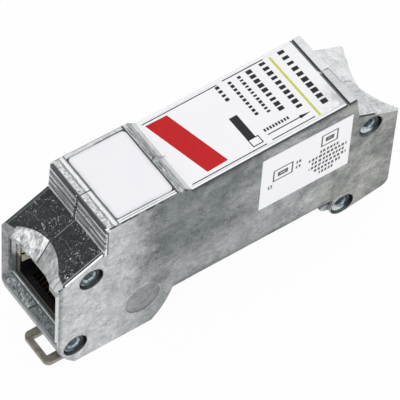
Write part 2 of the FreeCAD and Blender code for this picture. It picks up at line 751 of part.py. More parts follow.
def build_contacts(name, front):
    """Eight spring wires: flat in the bed, folded back and rising into the plug space."""
    body = new_body(name)
    base = d.port_sill + d.insert_gap - d.contact_bed
    bend = d.contact_front
    tip = bend + d.contact_length
    thick = d.contact_sheet
    view = new_sketch(body, "WireView", "XZ_Plane", d.contact_pitch * 3.5 - d.contact_width / 2)
    draw_outline(view, [
        (d.port_depth - thick, base),
        (bend, base),
        (bend, base + thick),
        (tip, base + thick + d.contact_rise),
        (tip + thick, base + d.contact_rise),
        (bend + thick * 4, base + thick),
        (d.port_depth - thick, base + thick),
    ])
    wire = add_prism(body, "Wire", view, d.contact_width)
    row = repeat(body, "Row", wire, (view, ["N_Axis"]), d.contact_pitch, 8)
    row.Reversed = True
    return seat_socket(body, front)


def build_side_springs(name, front):
    """Two bowed fingers on each side of the plug space, which earth the plug's shell."""
    body = new_body(name)
    wall_half = d.port_half_width - d.insert_gap
    root_x = d.shield_sheet + d.insert_gap
    crest = root_x + d.finger_length / 2
    tip = root_x + d.finger_length
    base = d.port_sill + d.port_height - d.finger_pitch - d.finger_height - d.insert_gap
    view = new_sketch(body, "FingerView", "XY_Plane", base)
    for side in (1, -1):
        outer = (wall_half - d.insert_gap) * side
        crest_outer = outer - d.finger_bow * side
        draw_outline(view, [
            (root_x, outer),
            (crest, crest_outer),
            (tip, outer),
            (tip, outer - d.finger_sheet * side),
            (crest, crest_outer - d.finger_sheet * side),
            (root_x, outer - d.finger_sheet * side),
        ])
    pair = add_prism(body, "Fingers", view, d.finger_height)
    repeat(body, "Rows", pair, (view, ["N_Axis"]), d.finger_pitch, 2)
    return seat_socket(body, front)


# Board and the parts on it

def board_ends():
    return FRONT_SOCKET + d.board_gap, REAR_SOCKET - d.board_gap


def build_board(name, base, thickness):
    body = new_body(name)
    front, rear = board_ends()
    half = SOCKET_HALF - d.board_gap
    view = draw_outline(new_sketch(body, "BoardView", "XY_Plane", base), rectangle(front, rear, -half, half))
    add_prism(body, "Plate", view, thickness)
    return body


def component_front():
    """Middle of the first component in each row between the sockets."""
    middle = (FRONT_SOCKET + REAR_SOCKET) / 2
    return middle - d.tube_pitch * 1.5


def build_gas_tubes():
    """Four discharge tubes lying across the board: metal end caps, ceramic between."""
    body = new_body("gas_tubes")
    half = d.tube_length / 2
    waist = d.tube_radius - d.tube_neck
    profile = new_sketch(body, "Profile", "XY_Plane")
    draw_outline(profile, [
        (sized(0), -half),
        (d.tube_radius, -half),
        (d.tube_radius, -half + d.tube_cap),
        (waist, -half + d.tube_cap),
        (waist, half - d.tube_cap),
        (d.tube_radius, half - d.tube_cap),
        (d.tube_radius, half),
        (sized(0), half),
    ])
    tube = body.newObject("PartDesign::Revolution", "Tube")
    tube.Profile = profile
    tube.ReferenceAxis = (profile, ["V_Axis"])
    tube.Angle = 360
    repeat(body, "Row", tube, (profile, ["H_Axis"]), d.tube_pitch, 4)
    place(body, x=component_front(), y=-(CHAMBER_HALF - d.tube_gap - half), z=BOARD_TOP + d.tube_radius)
    return body


def build_blocks(name, length, width, height, x, y, count, pitch):
    """A row of small moulded parts on the board."""
    body = new_body(name)
    view = draw_outline(new_sketch(body, "View", "XY_Plane"),
                        rectangle(-length / 2, length / 2, -width / 2, width / 2))
    block = add_prism(body, "Block", view, height)
    repeat(body, "Row", block, (view, ["H_Axis"]), pitch, count)
    place(body, x=x, y=y, z=BOARD_TOP)
    return body


# Rail latch and spring

def latch_ends():
    leg_rear = CHAMBER_REAR - d.latch_gap
    return FRONT - d.latch_tab, leg_rear, -RAIL_WALL + d.latch_nose


def build_latch():
    """Bent plate: tab and slot in front, leg for the spring, nose under the rail."""
    body = new_body("rail_latch")
    tip, leg, nose = latch_ends()
    thick = d.latch_sheet
    view = new_sketch(body, "BentView", "XZ_Plane", LATCH_SIDE)
    draw_outline(view, [
        (tip, PLATE_BASE),
        (leg, PLATE_BASE),
        (leg, NOSE_TOP - thick),
        (nose - d.latch_nose_bevel, NOSE_TOP - thick),
        (nose, NOSE_TOP - thick + d.latch_nose_bevel),
        (nose, NOSE_TOP),
        (leg - thick, NOSE_TOP),
        (leg - thick, PLATE_TOP),
        (tip, PLATE_TOP),
    ])
    add_prism(body, "Plate", view, d.latch_width, both_ways=True)
    inner = ((leg - thick, PLATE_TOP), (leg, NOSE_TOP - thick))
    outer = ((leg, PLATE_BASE), (leg - thick, NOSE_TOP))
    for name, corners, radius in (("InnerBends", inner, d.latch_bend),
                                  ("OuterBends", outer, d.latch_bend + thick)):
        dress(body, "Fillet", name, radius,
              lambda p, corners=corners: any(near(p.x, x.value) and near(p.z, z.value) for x, z in corners))
    dress(body, "Fillet", "TabCorners", d.latch_corner,
          lambda p: near(p.x, tip.value) and near(abs(p.y + LATCH_SIDE.value), d.latch_width.value / 2))
    slot = new_sketch(body, "SlotView", "XY_Plane", PLATE_TOP)
    half = d.latch_slot_width / 2
    draw_outline(slot, rectangle(tip + d.latch_slot_web, tip + d.latch_slot_web + d.latch_slot_length,
                                 -LATCH_SIDE - half, -LATCH_SIDE + half))
    cut_prism(body, "Slot", slot, thick)
    return body


def build_spring():
    """Compression spring between the casting and the latch's leg."""
    body = new_body("latch_spring")
    front = CHAMBER_FRONT + d.spring_gap + d.spring_wire
    rear = latch_ends()[1] - d.latch_sheet - d.spring_gap - d.spring_wire
    profile = new_sketch(body, "Wire", "XZ_Plane")
    turns = [sized(360 * step / WIRE_SIDES) for step in range(WIRE_SIDES)]
    draw_outline(profile, [(d.spring_wire * cosine(turn), d.spring_radius + d.spring_wire * sine(turn))
                           for turn in turns])
    coil = body.newObject("PartDesign::AdditiveHelix", "Coil")
    coil.Profile = profile
    coil.ReferenceAxis = (profile, ["H_Axis"])
    coil.Mode = "height-turns-growth"
    coil.Growth = 0
    coil.setExpression("Height", (rear - front).text)
    coil.setExpression("Turns", d.spring_turns.text)
    place(body, x=front, y=-LATCH_SIDE,
          z=PLATE_TOP + d.spring_lift + d.spring_wire + d.spring_radius)
    return body


def build_all():
    pieces = [
        build_half_shell("right_housing_half", True),
        build_half_shell("left_housing_half", False),
    ]
    pieces += [build_rivet(name, x, z) for name, (x, z) in RIVETS.items()]
    pieces += [build_marker_plate(), build_top_label(), build_side_label()]
    for end, front in (("front", True), ("rear", False)):
        pieces.append(build_shield(f"{end}_jack_shield", front))
        pieces.append(build_insert(f"{end}_jack_body", front))
        pieces.append(build_contacts(f"{end}_jack_contacts", front))
        pieces.append(build_side_springs(f"{end}_shield_springs", front))
    pieces.append(build_board("circuit_board", BOARD_BASE, d.board_thickness))
    pieces.append(build_board("insulating_sheet", FLOOR, d.sheet_thickness))
    pieces.append(build_gas_tubes())
    pieces.append(build_blocks("clamping_diodes", d.diode_length, d.diode_width, d.diode_height,
                               component_front(), CHAMBER_HALF - d.diode_gap - d.diode_width / 2,
                               4, d.tube_pitch))
    pieces.append(build_blocks("coupling_resistors", d.resistor_length, d.resistor_width,
                               d.resistor_height, component_front() + d.tube_pitch / 2, sized(2),
                               3, d.tube_pitch))
    pieces.append(build_latch())
    pieces.append(build_spring())
    return pieces


def check_document(pieces):
    for item in doc.Objects:
        if {"Invalid", "Error"} & set(item.State):
            raise RuntimeError(f"{item.Name} failed: {item.State}")
    for piece in pieces:
        if piece.Shape.isNull() or not piece.Shape.isValid():
            raise RuntimeError(f"{piece.Label} has no sound shape")


def export(pieces):
    os.makedirs("parts", exist_ok=True)
    for piece in pieces:
        piece.Shape.exportStep(os.path.join("parts", piece.Label + ".step"))
        box = piece.Shape.BoundBox
        print(f"{piece.Label}: {len(piece.Shape.Solids)} solids, volume {piece.Shape.Volume:.2f},"
              f" x {box.XMin:.2f}..{box.XMax:.2f}, y {box.YMin:.2f}..{box.YMax:.2f},"
              f" z {box.ZMin:.2f}..{box.ZMax:.2f}")


all_pieces = build_all()
doc.recompute()
check_document(all_pieces)
export(all_pieces)
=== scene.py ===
import json
import math

import bmesh
import bpy
from mathutils import Matrix, Vector


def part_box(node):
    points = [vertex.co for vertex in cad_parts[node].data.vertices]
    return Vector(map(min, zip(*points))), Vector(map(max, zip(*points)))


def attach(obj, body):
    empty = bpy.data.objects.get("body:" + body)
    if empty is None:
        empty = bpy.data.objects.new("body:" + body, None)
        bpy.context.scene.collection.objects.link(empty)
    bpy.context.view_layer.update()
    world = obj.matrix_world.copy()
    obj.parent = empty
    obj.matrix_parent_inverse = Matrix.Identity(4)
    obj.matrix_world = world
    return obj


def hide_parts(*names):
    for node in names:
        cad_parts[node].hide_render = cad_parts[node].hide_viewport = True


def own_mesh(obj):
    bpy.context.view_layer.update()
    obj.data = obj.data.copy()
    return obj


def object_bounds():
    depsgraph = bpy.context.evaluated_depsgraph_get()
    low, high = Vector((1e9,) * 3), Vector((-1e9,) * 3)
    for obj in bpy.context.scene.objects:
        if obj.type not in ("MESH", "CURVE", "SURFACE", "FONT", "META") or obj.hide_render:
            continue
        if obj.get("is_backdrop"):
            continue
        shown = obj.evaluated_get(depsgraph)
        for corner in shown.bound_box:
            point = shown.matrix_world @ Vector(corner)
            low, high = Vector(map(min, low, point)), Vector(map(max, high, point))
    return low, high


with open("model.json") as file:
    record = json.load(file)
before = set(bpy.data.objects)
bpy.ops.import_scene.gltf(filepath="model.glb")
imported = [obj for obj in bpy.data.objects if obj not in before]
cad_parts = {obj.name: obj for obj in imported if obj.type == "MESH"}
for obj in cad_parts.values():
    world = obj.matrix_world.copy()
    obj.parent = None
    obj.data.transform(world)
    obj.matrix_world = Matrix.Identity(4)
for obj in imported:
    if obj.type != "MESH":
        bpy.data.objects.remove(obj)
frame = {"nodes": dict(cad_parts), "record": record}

bl_info = {
    "name": "Rail surge protector",
    "version": (1, 0, 0),
    "blender": (4, 5, 0),
    "location": "3D View > Sidebar > Surge",
    "description": "Dresses the cast rail surge protector: castings, films, print, sockets and latch",
    "category": "Object",
}

MM = 0.001
NODES = frame["nodes"]
HOUSING = "housing"


# Colours and measures

def linear(level):
    """A screen level from 0 to 255 as a linear one."""
    share = level / 255
    if share <= 0.04045:
        return share / 12.92
    return ((share + 0.055) / 1.055) ** 2.4


def tint(red, green, blue):
    return (linear(red), linear(green), linear(blue), 1.0)


def grey(level):
    return tint(level, level, level)


def box_mm(node):
    low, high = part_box(node)
    return low / MM, high / MM


FILM_LOW, FILM_HIGH = box_mm("top_label")
PLATE_LOW, PLATE_HIGH = box_mm("marker_plate")


def film_levels():
    """Heights of the top film's upper face at its front and rear edges, in mm."""
    corners = [vertex.co / MM for vertex in NODES["top_label"].data.vertices]
    front = max(corner.z for corner in corners if corner.x < FILM_LOW.x + 0.01)
    rear = max(corner.z for corner in corners if corner.x > FILM_HIGH.x - 0.01)
    return front, rear


FILM_FRONT, FILM_REAR = film_levels()
FILM_LEAN = (FILM_REAR - FILM_FRONT) / (FILM_HIGH.x - FILM_LOW.x)
FILM_THICK = 0.12


def film_height(x):
    return FILM_FRONT + (x - FILM_LOW.x) * FILM_LEAN


def rivet_axes():
    """Places of the four rivets in the side view, in mm."""
    boxes = [box_mm(name) for name in NODES if name.endswith("rivet")]
    return [((low.x + high.x) / 2, (low.z + high.z) / 2) for low, high in boxes]


RIVET_AXES = rivet_axes()

# Places on the housing, in mm: X along it, Z above the rail seat, reach out from the parting plane
SIDE_EDGE = 9.2
SIDE_REACH = (SIDE_EDGE, 9.3)
PLATFORM_FRONT = PLATE_LOW.x - 3.05
PLATFORM_TOP = (29.5, 29.7)
STEP_X = (-36.3, -34.6)
STEP_FOOT = (22.75, 23.0)
FILM_FOOT = (28.6, 28.9)
RIM_TOP = (28.6, 28.8)
HOLLOW_FRONT = -18.1
RAMP_END = FILM_LOW.x - 0.3
GROOVE_FRONT = FILM_HIGH.x + 0.3
GROOVE_EDGES = (GROOVE_FRONT - 0.12, GROOVE_FRONT + 0.42)
RIM_REAR = FILM_HIGH.x + 2.5
EAR_LINE = -42.2
MOUTH_X = (-46.3, -43.85)
SILL_Z = (2.3, 5.0)
CHEEK_Z = (4.6, 16.7)
HOOK_X, HOOK_Z = (16.2, 19.2), (-4.9, -1.1)
FOOT_X, FOOT_Z = (-19, 19), (-0.2, 1.3)
MARK_X, MARK_Z, MARK_RADIUS = -26.3, 1.8, 3.9
SEAT_RADIUS, HEAD_RADIUS = 2.65, 2.5

# Slopes over the sockets: upward share of their normal, and its share along X
SLOPE_UP = (0.86, 0.95)
SLOPE_ALONG = (0.3, 0.36)

# Lines along the face of the step: lower edge, upper edge, grey level
STEP_LINES = ((23.15, 23.7, 206), (23.9, 24.3, 70), (24.7, 25.0, 186),
              (25.4, 25.8, 182), (26.0, 26.3, 86), (26.6, 27.2, 290),
              (27.4, 27.75, 84), (27.9, 28.5, 252), (29.15, 30.2, 42))

# Lines up the side at the step's corner: from and to in X, grey level
CORNER_LINES = ((-36.0, -35.6, 62), (-35.6, -35.1, 250), (-35.1, -34.75, 120))

# Ragged crack down the step at the seam: start and end in Y and Z, and how far off its lit edge lies
STEP_CRACK = (((0.08, 29.8), (0.22, 26.8), 0.34), ((0.22, 26.8), (0.61, 23.9), -0.3),
              ((0.61, 23.9), (0.5, 22.9), 0.36))

# Chips at the seam of the hollow: start and end in X and Y, width, grey level
HOLLOW_CHIPS = (((-19.4, -0.55), (-18.2, 0.25), 0.3, 62), ((-17.7, -0.45), (-16.5, -0.5), 0.22, 92))

# Strokes in X and Y: a line across the ears, a scratch over the sill, an outline by the groove
EAR_SEAM = ((-46.2, -8.3), (-43.6, -7.5), 0.16)
SILL_SCRATCH = ((-46.1, -0.15), (-44.7, -1.15), 0.3)
GROOVE_OUTLINE = (((20.6, 0.0), (21.9, -0.25), 0.26), ((21.85, -0.3), (21.95, -4.2), 0.2))

# Rows of blocks on the side film: from and to in X, from and to in Z, spacing
SIDE_ROWS = ((13.9, 18.4, 18.7, 19.5, 0.8), (11.4, 20.4, 17.4, 18.2, 0.9),
             (12.2, 20.0, 16.1, 16.9, 0.8), (11.6, 20.4, 14.8, 15.6, 0.9),
             (12.8, 19.4, 13.5, 14.3, 0.8), (14.2, 17.6, 12.2, 13.0, 0.8),
             (8.3, 9.7, 19.4, 20.2, 0.8), (8.3, 9.4, 17.9, 18.7, 0.8))
# Open boxes on the side film: from and to in X, from and to in Z, width of the line
SIDE_BOXES = ((14.0, 18.0, 20.5, 24.0, 0.34), (15.0, 17.0, 21.6, 22.9, 0.6),
              (2.9, 7.6, 17.4, 20.9, 0.34), (4.0, 6.4, 18.5, 19.8, 0.55), (1.9, 2.9, 15.7, 16.7, 0.24))

# Hue of the casting at some grey levels: cool where it is dark, neutral where it is light
CAST_TINTS = ((0, (0, 0, 0)), (40, (36, 41, 43)), (85, (80, 86, 88)), (125, (121, 126, 127)),
              (170, (168, 171, 171)), (210, (208, 210, 212)), (255, (254, 255, 255)))
# Hue of the sides towards the rear, and of the oily sill, as factors on the casting's own
WARM_CAST = (1.0, 0.975, 0.93, 1.0)
OILY_CAST = (0.92, 0.99, 1.03, 1.0)


class CastingLooks(bpy.types.PropertyGroup):
    cloud_size: bpy.props.FloatProperty(
        name="Cloud size", description="Width of the clouds in the cast skin, in millimetres",
        min=1, max=40, default=9)
    # Grey level of the painted dark reflection on the polished slope over the front socket
    slope_dark_reflection: bpy.props.FloatProperty(
        name="Polished slope", description="Grey level, up to 255, of the slope over the front socket",
        min=0, max=255, default=26)
    specks: bpy.props.FloatProperty(
        name="Specks", description="How bright the specks on the polished slope are",
        min=0, max=2, default=0.8)
    wear: bpy.props.FloatProperty(
        name="Wear", description="How strongly the wrinkles and smears show on the sides",
        min=0, max=2, default=1)


class PrintLooks(bpy.types.PropertyGroup):
    red: bpy.props.FloatVectorProperty(
        name="Red field", description="Slanted field on the top film", subtype="COLOR",
        size=4, min=0, max=1, default=tint(198, 16, 24))
    lime: bpy.props.FloatVectorProperty(
        name="Lime line", description="Line across the top film", subtype="COLOR",
        size=4, min=0, max=1, default=tint(208, 214, 92))
    black: bpy.props.FloatVectorProperty(
        name="Black ink", description="Rules, boxes and rows of blocks", subtype="COLOR",
        size=4, min=0, max=1, default=tint(32, 33, 37))
    rule: bpy.props.FloatProperty(
        name="Rule width", description="Width of the thin rules", unit="LENGTH",
        min=0.05 * MM, max=1 * MM, default=0.2 * MM)
    ink: bpy.props.FloatProperty(
        name="Ink height", description="How far the print stands above the film", unit="LENGTH",
        min=0.005 * MM, max=0.1 * MM, default=0.02 * MM)


class StageLooks(bpy.types.PropertyGroup):
    ambient: bpy.props.FloatProperty(
        name="Ambient", description="Strength of the even light from all round",
        min=0, max=2, default=0.72)
    key: bpy.props.FloatProperty(
        name="Key light", description="Power of the soft light overhead", unit="POWER",
        min=0, max=20, default=0.85)
    lens: bpy.props.FloatProperty(
        name="Lens", description="Focal length of the camera", unit="CAMERA",
        min=20, max=600, default=304.46)


# Nodes

def feed(tree, socket, value):
    """Sets a socket to a constant, or links it to an output, a Value or a node's first output."""
    if isinstance(value, bpy.types.Node):
        value = value.outputs[0]
    value = getattr(value, "socket", value)
    if isinstance(value, bpy.types.NodeSocket):
        tree.links.new(value, socket)
    else:
        socket.default_value = value


def add_node(tree, kind, inputs=None, **settings):
    """A new node with these settings, its sockets set or linked as inputs says."""
    node = tree.nodes.new(kind)
    for name, value in settings.items():
        setattr(node, name, value)
    for name, value in (inputs or {}).items():
        feed(tree, node.inputs[name], value)
    return node


def sign(operation, turned=False):
    """The method behind an arithmetic sign of Value."""
    def combine(value, other):
        first, second = (other, value) if turned else (value, other)
        return value.finish.math(operation, first, second)
    return combine


class Value:
    """A number that varies over a surface. It adds up, multiplies and divides like a plain one."""

    __add__ = sign("ADD")
    __radd__ = sign("ADD", turned=True)
    __sub__ = sign("SUBTRACT")
    __rsub__ = sign("SUBTRACT", turned=True)
    __mul__ = sign("MULTIPLY")
    __rmul__ = sign("MULTIPLY", turned=True)
    __truediv__ = sign("DIVIDE")
    either = sign("MAXIMUM")

    def __init__(self, finish, socket):
        self.finish = finish
        self.socket = socket

    def __neg__(self):
        return self * -1

    def __abs__(self):
        return self.finish.math("ABSOLUTE", self)

    def rise(self, low, high):
        """0 below low, 1 above high, with a soft step between."""
        return self.finish.value("ShaderNodeMapRange", {"Value": self, "From Min": low, "From Max": high},
                                 interpolation_type="SMOOTHSTEP", clamp=False)

    def fall(self, low, high):
        """1 below low, 0 above high."""
        return 1 - self.rise(low, high)

    def band(self, low, high, soft=0.05):
        """1 between low and high, 0 outside."""
        return self.rise(low - soft, low + soft) * self.fall(high - soft, high + soft)

    def swing(self, amount):
        """A pattern round 0.5 as a swing round 0."""
        return self.finish.math("MULTIPLY_ADD", self, amount, -amount / 2)

    def thread(self, width):
        """Thin winding lines, where a pattern passes its middle."""
        return abs(self - 0.5).fall(width * 0.4, width)


# Finishes

class Finish:
    """One finish: its material, and the places and patterns that it is drawn by, in mm."""

    def __init__(self, name, metallic=0.0, roughness=0.5):
        self.material = bpy.data.materials.new(name)
        self.material.use_nodes = True
        self.tree = self.material.node_tree
        self.shader = self.tree.nodes["Principled BSDF"].inputs
        self.shader["Metallic"].default_value = metallic
        self.shader["Roughness"].default_value = roughness
        source = add_node(self.tree, "ShaderNodeTexCoord").outputs
        in_metres = source["Object"]
        self.place = self.value("ShaderNodeVectorMath", {0: in_metres, "Scale": 1 / MM}, operation="SCALE")
        self.x, self.y, self.z = self.parts(self.place)
        self.nx, self.ny, self.nz = self.parts(source["Normal"])

    def value(self, kind, inputs, output=0, **settings):
        return Value(self, add_node(self.tree, kind, inputs, **settings).outputs[output])

    def math(self, operation, *values):
        return self.value("ShaderNodeMath", dict(enumerate(values)), operation=operation)

    def parts(self, vector):
        split = add_node(self.tree, "ShaderNodeSeparateXYZ", {0: vector})
        return [Value(self, socket) for socket in split.outputs]

    def stretch(self, x=1.0, y=1.0, z=1.0, turn=(0.0, 0.0, 0.0)):
        """The place, scaled and turned, for a pattern that is drawn out."""
        return self.value("ShaderNodeMapping", {
            "Vector": self.place, "Scale": (x, y, z), "Rotation": turn})

    def noise(self, size, detail=4.0, roughness=0.6, distortion=0.0, vector=None):
        """Cloudy pattern whose features are about size mm wide."""
        return self.value("ShaderNodeTexNoise", {
            "Vector": vector or self.place, "Scale": 1 / size, "Detail": detail,
            "Roughness": roughness, "Distortion": distortion}, "Fac")

    def cells(self, size):
        """Distance from the nearest of many points that lie about size mm apart."""
        return self.value("ShaderNodeTexVoronoi", {"Vector": self.place, "Scale": 1 / size}, "Distance")

    def patch(self, x_span, z_span, soft):
        """1 inside a box of the side view."""
        return self.x.band(*x_span, soft) * self.z.band(*z_span, soft)

    def stroke(self, u, v, start, end, width):
        """1 along a straight stroke from start to end, in any two of the places."""
        run, climb = end[0] - start[0], end[1] - start[1]
        length = math.hypot(run, climb)
        from_u, from_v = u - start[0], v - start[1]
        along = from_u * (run / length) + from_v * (climb / length)
        across = from_u * (climb / length) - from_v * (run / length)
        return abs(across).fall(width * 0.3, width * 0.7) * along.band(0, length, 0.06)

    def away_from(self, x, z):
        """Distance in the side view from the place x, z."""
        flat = self.value("ShaderNodeCombineXYZ", {"X": self.x, "Z": self.z})
        return self.value("ShaderNodeVectorMath", {0: flat, 1: (x, 0, z)}, "Value", operation="DISTANCE")

    def rivet_distance(self):
        """Distance from the nearest rivet's axis."""
        nearest = self.away_from(*RIVET_AXES[0])
        for x, z in RIVET_AXES[1:]:
            nearest = self.math("MINIMUM", nearest, self.away_from(x, z))
        return nearest

    def rivet_lean(self):
        """From -1 at a rear rivet's lower front to 1 at its upper rear, weaker at the front ones."""
        total = 0.0
        for x, z in RIVET_AXES:
            near = self.away_from(x, z).fall(2.9, 3.1) * (1.0 if x > 0 else 0.2)
            total = self.math("MULTIPLY_ADD", near, (self.x - x) + (self.z - z), total)
        return total * 0.36

    def ramp(self, value, *stops):
        """Colours along a value: stops are (place, colour)."""
        node = add_node(self.tree, "ShaderNodeValToRGB", {0: value})
        elements = node.color_ramp.elements
        for element, (place, colour) in zip(elements, stops):
            element.position = place
            element.color = colour
        for place, colour in stops[2:]:
            elements.new(place).color = colour
        return Value(self, node.outputs[0])

    def mix(self, share, first, second, blend="MIX"):
        return self.value("ShaderNodeMix", {"Factor": share, 6: first, 7: second}, 2,
                          data_type="RGBA", blend_type=blend)

    def cover(self, colour, gloss=None, relief=None):
        """Sets the colour, the gloss (pattern, low, high) and the bumps (height, depth, strength)."""
        feed(self.tree, self.shader["Base Color"], colour)
        if gloss:
            pattern, low, high = gloss
            spread = {"Value": pattern, "To Min": low, "To Max": high}
            feed(self.tree, self.shader["Roughness"], self.value("ShaderNodeMapRange", spread, clamp=False))
        if relief:
            height, depth, strength = relief
            bumps = {"Height": height, "Distance": depth * MM, "Strength": strength}
            feed(self.tree, self.shader["Normal"], self.value("ShaderNodeBump", bumps))
        return self.material


class Casting(Finish):
    """Bare zinc casting. Its skin is built up as one grey level that runs from 0 to 255."""

    def __init__(self, name, near_half, looks):
        super().__init__(name, metallic=0.4, roughness=0.5)
        self.near_half = near_half
        self.looks = looks
        self.reach = abs(self.y)
        self.clouds = self.noise(looks.cloud_size, 5, 0.6, 0.4)
        self.blotches = self.noise(1.7, 6, 0.68, 0.9)
        self.mottle = self.noise(0.75, 4, 0.66, 0.6)
        self.grain = self.noise(0.3, 4, 0.75)
        self.streaks = self.noise(0.3, 4, 0.6, vector=self.stretch(1.0, 0.12, 1.0))
        self.upward = self.nz.rise(0.7, 0.85)
        self.side = abs(self.ny).rise(0.6, 0.9) * self.reach.rise(*SIDE_REACH)
        self.level = self.vary(148, clouds=40, blotches=80, grain=60)

    def vary(self, base, **swings):
        """The base, varied by patterns of the casting, each with its swing."""
        for pattern, amount in swings.items():
            base = base + getattr(self, pattern).swing(amount)
        return base

    def half(self, near, far):
        return near if self.near_half else far

    def lay(self, mask, level):
        """Covers the skin with another level where the mask is 1."""
        self.level = self.math("MULTIPLY_ADD", mask, level - self.level, self.level)

    def shift(self, mask, amount):
        """Makes the skin lighter or darker where the mask is 1."""
        self.level = self.math("MULTIPLY_ADD", mask, amount, self.level)

    def lay_sides(self):
        """Light front block, a dark cloud over the middle, mid grey at the rear."""
        wander_x = self.vary(self.x, clouds=22, blotches=8)
        wander_z = self.vary(self.z, clouds=22, blotches=6)
        behind = wander_x.rise(-33, -24)
        cloud = behind * wander_z.rise(6, 13) * wander_x.fall(-6, 3)
        drawn = self.noise(1.5, 5, 0.68, 0.7, vector=self.stretch(0.34, 1.0, 1.0, (0, 0.12, 0)))
        soft = self.noise(2.8, 4, 0.6, 0.8)
        front = self.vary(198 + soft.swing(90), blotches=76, mottle=74, clouds=50)
        middle = 158 + cloud * -38 + drawn.swing(58) + soft.swing(64)
        self.lay(self.side, front)
        self.lay(self.side * behind, self.vary(middle, mottle=40, clouds=84))
        wrinkles = self.noise(1.2, 3, 0.62, 1.5).thread(0.03)
        veins = self.noise(2.6, 4, 0.6, 1.0).thread(0.022)
        patchy = self.noise(3.0, 2, 0.5).rise(0.42, 0.6)
        self.shift(self.side * wrinkles * patchy, -44 * self.looks.wear)
        self.shift(self.side * veins, 14 * self.looks.wear)
        rear = self.side * self.x.rise(-2, 6)
        self.shift(rear * self.noise(5.5, 5, 0.62, 0.8).rise(0.42, 0.6), 30)
        self.shift(rear, -22)
        smudge = self.away_from(-22.6, 5.4).fall(0.8, 3.2)
        self.shift(self.side * smudge, -26)
        self.shift(self.side * self.patch(FOOT_X, FOOT_Z, 0.5), -24)

    def lay_casting_mark(self):
        """Round ejector mark: smoother and a little darker, with painted shade on its rim's lower front and
        a painted highlight on its upper rear.
        """
        off = self.away_from(MARK_X, MARK_Z)
        lean = (self.x - MARK_X) + (self.z - MARK_Z)
        inside = self.side * off.fall(MARK_RADIUS - 0.6, MARK_RADIUS + 0.1)
        self.lay(inside * 0.85, self.vary(140, clouds=60, blotches=130, mottle=60))
        # Painted shade on the rim's lower front, broken by mottle.
        shaded_rim = self.side * off.band(MARK_RADIUS - 0.3, MARK_RADIUS, 0.1) * lean.fall(-2.5, 1.5)
        self.shift(shaded_rim * self.mottle.rise(0.36, 0.52), -46)
        # Painted highlight on the rim's upper rear.
        lit_lip = self.side * off.band(MARK_RADIUS + 0.08, MARK_RADIUS + 0.35, 0.1) * lean.rise(1.0, 4.0)
        self.shift(lit_lip, 22)

    def lay_side_edges(self):
        """Painted shadow under the film, dashes on the platform's bevel, lines at the step's corner, and a
        painted highlight and painted shade on the side's rounded front edge.
        """
        bed = (self.x - FILM_LOW.x) * FILM_LEAN + (FILM_FRONT - FILM_THICK)
        below = bed - self.z
        along = self.side * self.x.band(RAMP_END, RIM_REAR, 0.2)
        # Painted shadow under the film's edge, deepest just below it.
        self.shift(along * below.fall(0.3, 1.6), -34)
        self.shift(along * below.fall(0.25, 0.55) * self.x.rise(-4, 2), -22)
        bevel = self.nz.rise(0.3, 0.5) * abs(self.ny).band(0.3, 0.86, 0.05)
        dashes = self.noise(0.9, 3, 0.6).rise(0.42, 0.58) * self.x.fall(-17, -15)
        self.lay(bevel, 62 + dashes * 72)
        if not self.near_half:
            self.lay(bevel * self.x.rise(-17, -16), 214)
        self.lay(bevel * self.x.fall(-36, -35.6), self.half(248, 70))
        self.lay(self.upward * self.x.band(RAMP_END, FILM_HIGH.x, 0.1), 234)
        corner = self.x.band(-36.0, -34.5, 0.1) * self.z.rise(*FILM_FOOT) * self.reach.rise(8.8, 9.0)
        self.lay(corner * self.mottle.rise(0.46, 0.54), 250)
        upright = self.side * self.z.band(22.2, 29.2, 0.2)
        for low, high, level in CORNER_LINES:
            self.lay(upright * self.x.band(low, high, 0.06), self.vary(level, mottle=70))
        # Painted highlight and painted shade on the rounded front edge of the side.
        lit_lip = self.reach.rise(9.05, SIDE_EDGE) * (-self.x).rise(45.55, 45.7) * self.z.fall(16.9, 17.2)
        self.lay(lit_lip, self.vary(214, mottle=60))
        self.shift(self.side * self.x.rise(-45.6, -45.5) * self.x.fall(-45.5, -44.2), -46)

    def lay_platform(self):
        """Light mottled frame round the write-on plate, with scribed lines and painted shade in the gap
        behind it.
        """
        front, rear = PLATE_LOW.x, PLATE_HIGH.x
        field = self.upward * self.z.rise(*PLATFORM_TOP) * self.x.fall(HOLLOW_FRONT, HOLLOW_FRONT + 0.2)
        self.lay(field, self.vary(206, blotches=90, mottle=150))
        flecks = self.noise(0.36, 3, 0.7, vector=self.stretch(1.0, 0.6, 1.0)).rise(0.53, 0.62)
        self.shift(field * flecks * self.x.fall(front - 0.9, front - 0.7), -70)
        broken = 0.35 + self.blotches.rise(0.38, 0.52) * 0.65
        before = field * self.x.fall(front - 0.1, front + 0.1)
        wave = self.vary(self.x, blotches=0.9)
        self.lay(before * self.x.fall(PLATFORM_FRONT + 0.3, PLATFORM_FRONT + 0.6), 66)
        self.lay(before * wave.band(front - 1.5, front - 1.2, 0.1) * broken, 112)
        self.lay(before * self.x.band(front - 1.0, front - 0.55, 0.1), 226)
        self.lay(before * self.x.band(front - 0.36, front, 0.08), 118)
        flank = field * self.x.band(front, rear, 0.1)
        if self.near_half:
            self.lay(flank * self.reach.rise(8.4, 8.5), self.vary(226, grain=50))
            self.lay(flank * self.reach.band(8.72, 8.9, 0.05) * broken, 150)
        else:
            self.lay(flank * self.reach.rise(8.2, 8.4), self.vary(200, blotches=160, grain=100))
            thick = self.x.rise(-27, -25)
            line = (self.reach - thick * 0.12).band(8.28, 8.5, 0.08)
            self.lay(flank * line, 150 + thick * -70)
        # Painted shade in the gap behind the plate's rear edge, widening towards the near side.
        gap_edge = self.vary(rear + 0.35 + (-self.y).rise(1, 8) * 0.4, blotches=0.5)
        after = self.z.rise(29.0, 29.2) * self.nz.rise(0.1, 0.2) * self.x.rise(rear - 0.05, rear + 0.05)
        self.lay(after * (self.x - gap_edge).fall(-0.08, 0.08), 50)

